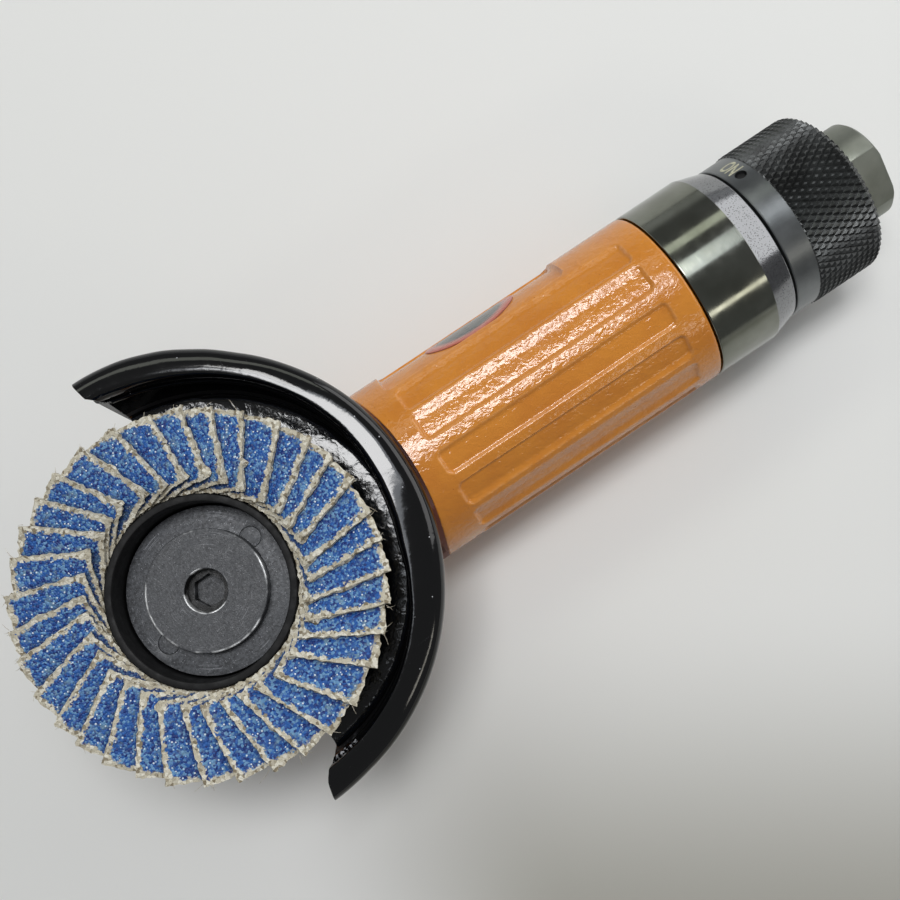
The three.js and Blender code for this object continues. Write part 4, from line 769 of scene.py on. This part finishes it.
def makeLetters():
    t = letters
    curve = bpy.data.curves.new("letters", "FONT")
    curve.body = t["text"]
    curve.size = t["size"]
    curve.align_x = "CENTER"
    curve.align_y = "CENTER"
    curve.offset = t["bold"]
    bm = evaluated(linked(bpy.data.objects.new("letters", curve)))
    bmesh.ops.triangulate(bm, faces=bm.faces)
    bmesh.ops.subdivide_edges(bm, edges=bm.edges, cuts=2, use_grid_fill=True)
    reach = sleeve["band"] + t["lift"]
    for vert in bm.verts:
        lean = math.radians(t["angle"]) + vert.co.x * t["narrow"] / reach
        vert.co = onBarrel(t["station"] + vert.co.y, reach, lean)
    bmesh.ops.recalc_face_normals(bm, faces=bm.faces)
    face = bm.faces[:][0]
    if face.normal.dot(face.calc_center_median() - Vector((t["station"], 0, axisHeight))) < 0:
        bmesh.ops.reverse_faces(bm, faces=bm.faces)
    return piece("throttleLetters", bm, "throttle", etchedLetter)


def linked(obj):
    bpy.context.scene.collection.objects.link(obj)
    return obj


makeLetters()


inlet = {
    "start": 120.3, "insert": 12.7, "journalStart": 137.9, "journal": 14.0, "journalEnd": 160.7, "boss": 11.6,
    "grooveStart": 161.4, "grooveEnd": 162.6, "grooveRadius": 10.9, "end": 170.7, "bore": 5.8, "floor": 156.0,
    "chamber": 8.0, "chamberEnd": 153.0, "neckBore": 3.0, "flat": 9.75, "flatStart": 163.5, "flatAngle": 27.6,
    "slot": 1.3, "key": 1.3, "slotStation": 141.3, "slotAngles": range(-37, 24, 10),
    "rounding": 0.25,
}


def makeInlet():
    n = inlet
    bm = turnedBarrel([
        (n["start"], n["chamber"]), (n["start"], n["insert"]), (n["journalStart"], n["insert"]),
        (n["journalStart"], n["journal"]), (n["journalEnd"], n["journal"]), (n["journalEnd"], n["boss"]),
        (n["grooveStart"], n["boss"]), (n["grooveStart"], n["grooveRadius"]),
        (n["grooveEnd"], n["grooveRadius"]), (n["grooveEnd"], n["boss"]),
        (n["end"] - 0.9, n["boss"]), (n["end"] - 0.3, n["boss"] - 0.5), (n["end"], n["boss"] - 1.1),
        (n["end"], n["bore"] + 0.6), (n["end"] - 0.6, n["bore"]), (n["floor"], n["bore"]),
        (n["floor"], n["neckBore"]), (n["chamberEnd"], n["neckBore"]), (n["chamberEnd"], n["chamber"])], 144)
    for side in (0, 180):
        long = n["end"] - n["flatStart"]
        tool = block((long + 4, 40, 8), (long / 2 + 2, 0, n["flat"] + 4))
        bm = carved(bm, aroundBarrel(tool, n["flatStart"], n["flatAngle"] + side))
    for angle in n["slotAngles"]:  # the slot that the throttle's pin sweeps
        bm = carved(bm, aroundBarrel(bar(n["slot"], 6, 16, 24), n["slotStation"], angle))
    bm = carved(bm, aroundBarrel(bar(n["key"], 6, 16, 24), n["slotStation"], 180))
    soften(bm, n["rounding"], 2, 30,
           lambda edge: edge.verts[0].co.x > 161 and barrelSpot(edge.verts[0].co)[0] > 9)
    return piece("inletBushingBody", bm, "tool_body", inletSteel, ["inlet_bushing"], 30)


makeInlet()


hub = {
    "profile": [(5.3, 36.2), (19.4, 36.2), (19.4, 41.3), (34.0, 41.3), (34.0, 43.1), (19.4, 43.1), (19.4, 48.9),
                (17.8, 48.9), (17.8, 38.2), (5.3, 38.2)],
    "steps": 192, "edge": 0.35,
}


def makeHub():
    bm = turnedSpindle(hub["profile"], hub["steps"])
    soften(bm, hub["edge"], 3, 30)
    return piece("backingPlateHub", bm, "disc_drive", blackPlastic, ["disc_backing_plate"], 20)


makeHub()


flaps = {
    # degrees about the spindle of each free edge, where it is 35.7 mm out
    "edges": [1, 10.6, 19.4, 30, 42.5, 52.5, 61.9, 72.3, 84, 95.3, 106.9, 116.3, 125.6, 135.6, 147.3, 158.1,
              166.9, 178.1, 188.5, 198.1, 208.1, 218.8, 228.1, 240, 250, 260.6, 270.3, 280, 290.6, 303.1, 313.1,
              321.9, 331.3, 341.3, 350],
    "edgeOffset": 9.5, "edgeReach": 35.7, "inner": 21.8, "outer": 37.2, "innerLeast": 19.6, "outerLeast": 36.0,
    "top": 52.85, "drop": 1.36, "thick": 0.95, "span": 6.4, "base": 43.5, "columns": 34, "rows": 22,
    "fray": 0.28, "wave": 0.22, "seed": 11, "fraySeed": 5, "crowd": 1.7, "taperIn": 0.26, "taperOut": 0.19,
    "sagIn": (20.4, 24.5, 0.9), "sagOut": (36.4, 38, 0.25),  # from, to and how deep both ends hang
    # angle and how far past the usual length a flap there reaches
    "reach": [(0, 0.7), (20, 0.15), (50, -0.6), (80, -0.8), (100, 0), (125, 0.3), (150, 0.8), (170, 0.2),
              (190, -0.3), (230, 0.0), (260, 0.5), (285, 1.0), (340, 0.95), (360, 0.7)],
}


def makeFlaps():
    f = flaps
    chance = random.Random(f["seed"])
    noise.seed_set(f["fraySeed"])  # noise_vector differs from run to run without it
    count = len(f["edges"])
    atReach = math.asin(f["edgeOffset"] / f["edgeReach"])
    bm = bmesh.new()
    bm.loops.layers.uv.new("leaf")
    bm.verts.layers.float.new("under")
    for number, start in enumerate(f["edges"]):
        pitch = (f["edges"][(number + 1) % count] - start) % 360
        following = 360 / count
        grid = bmesh.new()
        bmesh.ops.create_grid(grid, x_segments=f["columns"], y_segments=f["rows"], size=1)
        gridUv = grid.loops.layers.uv.new("leaf")
        leafShadeLayer = grid.verts.layers.float.new("under")
        places = {}
        lean = chance.uniform(-0.5, 0.5)
        reachOut = chance.uniform(-0.35, 0.15) + between(f["reach"], start)
        reachIn = chance.uniform(-0.4, 0.5)
        level = chance.uniform(-0.12, 0.0)
        shift = Vector((chance.uniform(-50, 50), chance.uniform(-50, 50), number * 3.7))
        for vert in grid.verts:
            share = (vert.co.x + 1) / 2
            along = (vert.co.y + 1) / 2
            pitches = (share ** f["crowd"]) * f["span"]  # most columns lie near the free edge
            turn = pitch * min(pitches, 1) + following * max(pitches - 1, 0)
            side = math.radians(turn) * 36
            inner = max(f["inner"] + reachIn - f["taperIn"] * math.radians(turn) * 22, f["innerLeast"])
            outer = max(f["outer"] + reachOut - f["taperOut"] * side, f["outerLeast"])
            radius = inner + (outer - inner) * along
            angle = start + turn + lean * (along - 0.5)  # a straight edge, set off from the spindle
            angle += math.degrees(atReach - math.asin(f["edgeOffset"] / radius))
            height = f["top"] + level - f["drop"] * pitches
            (low, high, deep), (outLow, outHigh, outDeep) = f["sagIn"], f["sagOut"]
            height -= deep * (1 - eased(radius, low, high)) + outDeep * eased(radius, outLow, outHigh)
            flat = polar(radius, angle, height)
            places[vert] = (side, along)
            # painted shade under the next leaf's edge
            vert[leafShadeLayer] = eased(pitches, 0.80, 0.99)
            rough = noise.noise_vector(flat * 1.6 + shift)
            atEdge = max(1 - eased(side, 0, 0.5), eased(along, 0.965, 1), 1 - eased(along, 0, 0.035))
            outward = Vector((flat.x, flat.y, 0)).normalized()
            across = Vector((-outward.y, outward.x, 0))
            flat += (across * rough.x + outward * rough.y) * f["fray"] * atEdge * 1.6
            flat.z += noise.noise(flat * 0.22 + shift) * f["wave"] * eased(pitches, 0.0, 0.2)
            flat.z -= abs(rough.z) * 0.12 * atEdge
            flat.z = max(flat.z, f["base"] + f["thick"])
            vert.co = flat
        for face in grid.faces:
            for loop in face.loops:
                loop[gridUv].uv = places[loop.vert]
        bmesh.ops.recalc_face_normals(grid, faces=grid.faces)
        if grid.faces[:][0].normal.z < 0:
            bmesh.ops.reverse_faces(grid, faces=grid.faces)
        bmesh.ops.solidify(grid, geom=grid.verts[:] + grid.edges[:] + grid.faces[:], thickness=f["thick"])
        added(bm, grid)
    return piece("flapLeaves", bm, "disc_drive", abrasiveCloth, ["flap_ring"], 60)


makeFlaps()


threads = {"count": 64, "radius": 0.055, "least": 0.7, "most": 2.1, "steps": 6, "seed": 5}


def makeThreads():  # frayed out of the outer ends of the flaps
    f, t = flaps, threads
    chance = random.Random(t["seed"])
    bm = bmesh.new()
    for _ in range(t["count"]):
        turn = chance.choice(f["edges"]) + chance.uniform(-0.4, 3.0)
        reach = f["outer"] + between(f["reach"], turn % 360) - chance.uniform(0.5, 0.9)
        outward, across = polar(1, turn), polar(1, turn + 90)
        start = outward * reach + Vector((0, 0, f["top"] - chance.uniform(0.2, 0.6)))
        way = outward * chance.uniform(0.5, 1.0) + across * chance.uniform(-0.9, 0.9)
        bend = across * chance.uniform(-0.9, 0.9) - Vector((0, 0, chance.uniform(0.0, 0.5)))
        length = chance.uniform(t["least"], t["most"])
        last = None
        for step in range(t["steps"] + 1):
            share = step / t["steps"]
            spot = start + (way * share + bend * share * share * 0.6) * length
            thick = t["radius"] * (1 - 0.5 * share)
            side = way.cross(Vector((0, 0, 1))).normalized()
            ring = [bm.verts.new(spot + side * math.cos(a) * thick + Vector((0, 0, math.sin(a) * thick)))
                    for a in (0, math.pi / 2, math.pi, math.pi * 1.5)]
            for i in range(4 if last else 0):
                bm.faces.new((last[i], last[(i + 1) % 4], ring[(i + 1) % 4], ring[i]))
            if step in (0, t["steps"]):
                bm.faces.new(ring)
            last = ring
    bmesh.ops.recalc_face_normals(bm, faces=bm.faces)
    return piece("looseThreads", bm, "disc_drive", clothThread, (), 80)


makeThreads()


flange = {
    "bore": 5.8, "radius": 17.3, "low": 38.5, "high": 41.5, "edge": 0.35,
    "pocket": 2.3, "pocketReach": 13.5, "pocketDepth": 1.2, "pocketAngle": 19.3, "plug": 2.19, "plugTop": 41.47,
    "rounding": 0.16, "plugRounding": 0.1,
}
screw = {
    "profile": [(0, 27.0), (3.0, 27.0), (3.0, 38.8), (5.5, 38.8), (5.5, 41.8), (12.6, 41.8), (12.6, 44.5),
                (12.1, 44.5), (4.75, 44.5), (4.4, 44.5), (4.3, 41.9), (0, 41.9)],
    "socket": 6.0, "floor": 39.6, "edge": 0.22,
    "rubAbove": 44.15, "rubOutside": 12.2, "rubInside": 4.7,  # worn bare at both top edges, and painted bright there as a highlight
}


def makeFlange():
    f = flange
    bm = turnedSpindle([(f["bore"], f["low"]), (f["radius"], f["low"]), (f["radius"], f["high"]),
                        (f["bore"], f["high"])], 160)
    spots = [polar(f["pocketReach"], f["pocketAngle"] + side) for side in (0, 180)]
    for spot in spots:
        tool = bar(f["pocket"], f["high"] - f["pocketDepth"], f["high"] + 2, 40)
        bmesh.ops.translate(tool, vec=spot, verts=tool.verts)
        bm = carved(bm, tool)
    soften(bm, f["rounding"], 2, 40)
    for spot in spots:  # plugs pressed into both pockets
        plug = bar(f["plug"], f["high"] - f["pocketDepth"] + 0.02, f["plugTop"], 40)
        soften(plug, f["plugRounding"], 2, 40)
        bmesh.ops.translate(plug, vec=spot, verts=plug.verts)
        bm = added(bm, plug)
    return piece("outerFlangeDisc", bm, "disc_drive", speckledBlack, ["outer_flange"], 30)


def makeScrew():
    s = screw
    bm = turnedSpindle(s["profile"], 144, False)
    tool = bar(s["socket"] / 2 / math.cos(math.pi / 6), s["floor"], 50, 6)
    bmesh.ops.rotate(tool, matrix=Matrix.Rotation(math.pi / 2, 3, "Z"), cent=(0, 0, 0), verts=tool.verts)
    bm = carved(bm, tool)
    soften(bm, s["edge"], 3, 40, lambda edge: edge.verts[0].co.z > 42.2)
    rubLayer = bm.verts.layers.float.new("rub")
    for vert in bm.verts:
        reach = math.hypot(vert.co.x, vert.co.y)
        atEdge = reach > s["rubOutside"] or reach < s["rubInside"]
        vert[rubLayer] = 1.0 if vert.co.z > s["rubAbove"] and atEdge else 0.0
    return piece("clampScrewHead", bm, "disc_drive", speckledBlack, ["clamp_screw"], 30)


makeFlange()
makeScrew()


guard = {
    "radius": 48.7, "rim": 45.9, "plate": 33.0, "thick": 1.5, "bore": 14.8, "foot": 41.6,
    "lipDepth": 3.3, "square": 2.7, "beadFrom": -115, "beadTo": 205, "hub": 20.0,
    "steps": 300, "beadSteps": 45, "rounding": 0.35,
    "bendAt": (40.1, 8.5, 0), "bendWay": (0.786, 0.617, 0), "bend": 0.086,
    # angle about the spindle: lip's inner edge, outer edge, share of the width at its crest, outward lean
    "lip": {-95: (43.0, 49.4, 0.06, 0.16), -80: (42.8, 48.7, 0.06, 0.16), -60: (42.6, 48.4, 0.06, 0.16),
            -40: (41.8, 48.2, 0.06, 0.16), -30: (41.1, 48.2, 0.08, 0.15), -20: (40.4, 48.3, 0.13, 0.11),
            -12: (40.6, 48.4, 0.16, 0.07), -5: (40.9, 48.4, 0.18, 0.02), 0: (41.2, 48.4, 0.18, 0.01),
            10: (42.0, 48.55, 0.16, 0.0), 20: (42.7, 48.7, 0.14, 0.0), 35: (43.2, 48.85, 0.13, 0.0),
            50: (43.5, 49.15, 0.15, 0.0), 60: (43.7, 49.8, 0.18, 0.0), 70: (44.0, 50.6, 0.22, 0.0),
            80: (44.5, 51.2, 0.27, 0.0), 88: (45.2, 51.4, 0.32, 0.0), 95: (45.6, 51.45, 0.32, 0.0)},
    # the lip's turned-in edge: mm inwards of the lip, and height
    "hem": [(-0.25, 41.3), (0.05, 41.6), (0.4, 41.65), (0.7, 41.4), (0.8, 40.9), (0.6, 40.3), (0.1, 39.6)],
    # plan of both ends: distance from the spindle and angle
    "endA": [(19, 84), (23, 82), (38, 85), (41, 84.8), (43, 84.6), (44.7, 85.4), (45.3, 87.6), (46.5, 89.6),
             (50, 90.6), (55, 91.2)],
    "endB": [(19, -84), (23, -81), (37, -85.2), (40, -85.2), (42, -85.8), (43.2, -87.6), (45, -89.6),
             (49, -91.2), (55, -91.6)],
}


def lipAt(angle):  # the lip's four numbers at an angle about the spindle
    marks = sorted(guard["lip"])
    angle = min(max(angle, marks[0]), marks[-1])
    after = next(mark for mark in marks[1:] if mark >= angle)
    before = marks[marks.index(after) - 1]
    share = eased(angle, before, after) * 0.4 + (angle - before) / (after - before) * 0.6
    return [low + (high - low) * share for low, high in zip(guard["lip"][before], guard["lip"][after])]


def squared(turn, power):  # a corner squarer than a circle's
    side = math.copysign(abs(math.cos(turn)) ** (2 / power), math.cos(turn))
    return side, math.copysign(abs(math.sin(turn)) ** (2 / power), math.sin(turn))


def guardSpot(number, point, angle, turns):  # radius, height and wear of one profile point at an angle
    g = guard
    if point[0] < g["radius"]:
        radius, height = point
        if radius > 30 and 1.4 < height - g["plate"] < 2:  # the plate's top is a little bent up
            beyond = (polar(radius, angle) - Vector(g["bendAt"])).dot(Vector(g["bendWay"]))
            height += g["bend"] * max(0, beyond) * eased(beyond, 0, 0.8)
        return radius, height, 0.0
    inner, outer, crest, lean = lipAt(angle)
    if number >= len(turns):
        inward, height = g["hem"][number - len(turns)]
        return inner - inward, height, 0.8 if inward > 0 and not -78 < angle < 87 else 0.0
    middle = inner + (outer - inner) * crest
    x, z = squared(math.radians(turns[number]), g["square"])
    radius = middle + x * (outer - middle if x > 0 else middle - inner)
    height = g["rim"] - g["lipDepth"] + z * g["lipDepth"] - lean * max(radius - middle, 0)
    return radius, height + noise.noise(Vector((angle * 0.09, radius * 0.2, 3))) * 0.07, 0.0


def makeGuard():
    g = guard
    low, high, foot = g["plate"], g["plate"] + g["thick"], g["foot"]
    turns = stations((g["beadFrom"], g["beadTo"], g["beadSteps"]))
    moving = [(g["radius"], number) for number in range(len(turns) + len(g["hem"]))]
    profile = [(19.4, low), (23, low), (foot - 6, low), (foot - 1, low), (foot, low), (foot + 0.9, low + 0.2),
               (foot + 1.3, low + 0.8), (foot + 1.4, low + 1.6)] + moving
    profile += [(foot - 0.25, low + 2.4), (foot - 0.5, low + 1.75)]
    profile += [(foot - inset, high) for inset in (1.1, 1.9, 2.7, 3.5, 4.4, 7)] + [(23, high), (19.4, high)]
    bm = bmesh.new()
    rubLayer = bm.verts.layers.float.new("rub")
    columns = []
    for step in range(g["steps"] + 1):
        column = []
        for point in profile:
            number = point[1] if point[0] == g["radius"] else 0
            radius = point[0]
            for _ in range(3):  # where an end lies depends on the radius, and the lip's radius on the angle
                first, last = between(g["endB"], radius), between(g["endA"], radius)
                angle = first + (last - first) * step / g["steps"]
                radius, height, rub = guardSpot(number, point, angle, turns)
            vert = bm.verts.new(polar(radius, angle, height))
            vert[rubLayer] = rub
            column.append(vert)
        columns.append(column)
    for left, right in zip(columns, columns[1:]):
        for i in range(len(profile)):
            j = (i + 1) % len(profile)
            bm.faces.new((left[i], left[j], right[j], right[i]))
    bm.faces.new(columns[0])
    bm.faces.new(columns[-1])
    bmesh.ops.recalc_face_normals(bm, faces=bm.faces)
    ring = turnedSpindle([(g["bore"], low - 0.04), (g["hub"], low - 0.04), (g["hub"], high + 0.04),
                          (g["bore"], high + 0.04)], 128)
    added(bm, ring)
    obj = piece("guardShell", bm, "guard_set", blackPaint, ["guard"], 40)
    roundOff = obj.modifiers.new("roundOff", "BEVEL")
    roundOff.width = g["rounding"] * mm
    roundOff.segments = 2
    roundOff.limit_method = "ANGLE"
    roundOff.angle_limit = math.radians(50)
    return obj


makeGuard()


band = {"bore": 14.8, "outer": 16.5, "low": 28.7, "high": 32.7, "slot": 2.0, "lugLength": 5.5, "lugThick": 2.2,
        "screwX": -19.25, "screwRadius": 1.2, "slotMiddle": -19.5, "slotLength": 14, "lugRounding": 0.7,
        "rounding": 0.2}


def makeBand():
    b = band
    bm = turnedSpindle([(b["bore"], b["low"]), (b["outer"], b["low"]), (b["outer"], b["high"]),
                        (b["bore"], b["high"])], 128)
    middle = (b["low"] + b["high"]) / 2
    lugs = block((b["lugLength"] + 0.8, b["slot"] + 2 * b["lugThick"], b["high"] - b["low"]),
                 (-b["outer"] - b["lugLength"] / 2 + 0.4, 0, middle))
    soften(lugs, b["lugRounding"], 3, 28, lambda edge: all(vert.co.x < -20 for vert in edge.verts))
    bm = carved(bm, lugs, "UNION")
    bm = carved(bm, block((b["slotLength"], b["slot"], 10), (b["slotMiddle"], 0, middle)))
    hole = bar(b["screwRadius"] + 0.3, -8, 8, 32)
    bmesh.ops.rotate(hole, matrix=Matrix.Rotation(math.pi / 2, 3, "X"), cent=(0, 0, 0), verts=hole.verts)
    bmesh.ops.translate(hole, vec=(b["screwX"], 0, middle), verts=hole.verts)
    bm = carved(bm, hole)
    soften(bm, b["rounding"], 2, 50)
    piece("guardBand", bm, "guard_set", blackPaint, ["guard_collar"], 35)


makeBand()


carried = {
    bareSteel: ["spindle", "bevel_gear", "bevel_pinion", "inner_flange", "spindle_upper_bearing",
                "spindle_lower_bearing", "bearing_retainer_nut", "pinion_bearing_front",
                "pinion_bearing_rear", "pinion_spacer", "pinion_lock_ring", "front_rotor_bearing",
                "rear_rotor_bearing", "cylinder_liner", "liner_dowel", "rotor", "wave_washer",
                "throttle_valve", "valve_key_pin", "throttle_spring", "snap_ring",
                "guard_clamp_screw", "guard_clamp_nut"],
    aluminium: ["front_end_plate", "rear_end_plate"],
    brass: ["inlet_screen", "valve_seat"],
    rubber: ["collar_o_ring", "valve_o_ring", "sleeve_o_ring_front", "sleeve_o_ring_rear", "spindle_seal"],
    vaneComposite: ["vane_1", "vane_2", "vane_3", "vane_4"],
    shadedPinSteel: ["drive_pin"],
}
for shader, names in carried.items():
    for name in names:
        slots = cadNodes[name].data.materials
        slots.clear()
        slots.append(shader.material)


studio = {
    "floor": paint(229, 229, 227), "floorWarm": paint(226, 226, 223), "floorShadow": paint(164, 162, 154),
    "floorSize": 3.0, "shadeDown": (0.000, 0.088), "shadeAcross": (-0.018, 0.052), "shadeFar": (0.16, 0.45),
    "cameraAt": (0.05138481, -0.02512492, 0.26106303), "cameraTurn": (5.45514, 1.96426, -33.72528),
    "lens": 42.944, "sensor": 36,
    "sky": 0.17, "skyColour": (0.96, 0.98, 1.0, 1),
    "paleSide": 0.34, "paleTurn": (-0.1, 0.9), "paleHeight": (0.30, 0.12),
    "aim": (0.06, 0, 0.04),
}
lamps = {  # direction, which way its width lies, distance, width and length in metres, watts, colour
    "keyLamp": ((0.050, 0.190, 0.979), (0, 1, 0), 0.9, (0.19, 0.45), 3.2, (1.0, 0.99, 0.98)),
    "kneeLamp": ((-0.043, 0.338, 0.94), (0, 1, 0), 0.93, (0.09, 0.14), 0.45, (1.0, 0.99, 0.98)),
    "fillLamp": ((0.10, 0.17, 0.978), (0, 1, 0), 0.97, (0.33, 0.62), 1.9, (0.88, 0.93, 1.0)),
    "sideLamp": ((0.82, 0.18, 0.36), (0, 1, 0), 0.6, (0.72, 0.30), 1.15, (1.0, 1.0, 1.0)),
    "bandLamp": ((0.1, 0.66, 0.75), (1, 0, 0), 0.8, (0.9, 0.15), 0.62, (0.96, 1.0, 0.88)),
    "lineLamp": ((0.40, -0.72, 0.525), (1, 0, 0), 0.8, (0.36, 0.075), 0.3, (1.0, 0.95, 0.84)),
}


def makeFloor():
    bm = bmesh.new()
    bmesh.ops.create_grid(bm, x_segments=8, y_segments=8, size=studio["floorSize"] / 2)
    bmesh.ops.translate(bm, vec=(0.08, 0, -0.0002), verts=bm.verts)
    s = Shader("tableTop")
    spot = s.apart()
    down = spot["X"] * -0.555 + spot["Y"] * -0.832  # towards the picture's lower edge
    across = spot["X"] * 0.832 + spot["Y"] * -0.555
    # painted shadow: the floor darkens towards the lower right and fades out further away
    shade = s.step(down, *studio["shadeDown"]) * s.step(across - down * 0.35, *studio["shadeAcross"])
    shade = shade * s.step(down, *studio["shadeFar"], 1.0, 0.0) * s.step(across, *studio["shadeFar"], 1.0, 0.0)
    colour = s.mix(s.cloud(160, 2, 0.3, 0.7) * 0.25, studio["floor"], studio["floorWarm"])
    colour = s.mix(shade, colour, studio["floorShadow"])
    s.surface({"Base Color": colour, "Roughness": 0.75, "Specular IOR Level": 0.2})
    obj = asObject("tableTop", bm)
    obj.data.materials.append(s.material)


def lamp(name):
    direction, width, away, size, power, colour = lamps[name]
    light = bpy.data.lights.new(name, "AREA")
    light.shape = "RECTANGLE"
    light.size, light.size_y = size
    light.energy = power
    light.color = colour
    obj = linked(bpy.data.objects.new(name, light))
    back = Vector(direction).normalized()
    length = back.cross(Vector(width)).normalized()
    turn = Matrix((Vector(width), length, Vector(width).cross(length))).transposed()
    obj.location = Vector(studio["aim"]) + back * away
    obj.rotation_euler = turn.to_euler()  # a lamp shines down its own -Z


def makeWorld():  # dark, so that gloss shows the lamps alone, and paler low on the +Y side
    world = bpy.data.worlds.new("studio")
    bpy.context.scene.world = world
    world.use_nodes = True
    nodes, links = world.node_tree.nodes, world.node_tree.links
    place = nodes.new("ShaderNodeTexCoord")
    split = nodes.new("ShaderNodeSeparateXYZ")
    links.new(place.outputs["Generated"], split.inputs[0])
    parts = []
    sides = ("Y", studio["paleTurn"], 1.0), ("Z", studio["paleHeight"], studio["paleSide"])
    for axis, (start, end), top in sides:
        part = nodes.new("ShaderNodeMapRange")
        part.interpolation_type = "SMOOTHSTEP"
        part.inputs[1].default_value, part.inputs[2].default_value = start, end
        part.inputs[3].default_value, part.inputs[4].default_value = 0.0, top
        links.new(split.outputs[axis], part.inputs[0])
        parts.append(part)
    total = nodes.new("ShaderNodeMath")
    total.operation = "MULTIPLY_ADD"
    links.new(parts[0].outputs[0], total.inputs[0])
    links.new(parts[1].outputs[0], total.inputs[1])
    total.inputs[2].default_value = studio["sky"]
    nodes["Background"].inputs["Color"].default_value = studio["skyColour"]
    links.new(total.outputs[0], nodes["Background"].inputs["Strength"])


def makeStudio():
    for name in lamps:
        lamp(name)
    makeWorld()
    camera = linked(bpy.data.objects.new("camera", bpy.data.cameras.new("camera")))
    camera.data.lens = studio["lens"]
    camera.data.sensor_width = studio["sensor"]
    camera.data.clip_start = 0.01
    camera.location = studio["cameraAt"]
    camera.rotation_euler = Euler([math.radians(turn) for turn in studio["cameraTurn"]])
    bpy.context.scene.camera = camera
    bpy.context.scene.view_settings.view_transform = "Standard"


makeFloor()
makeStudio()
print("studio ready")
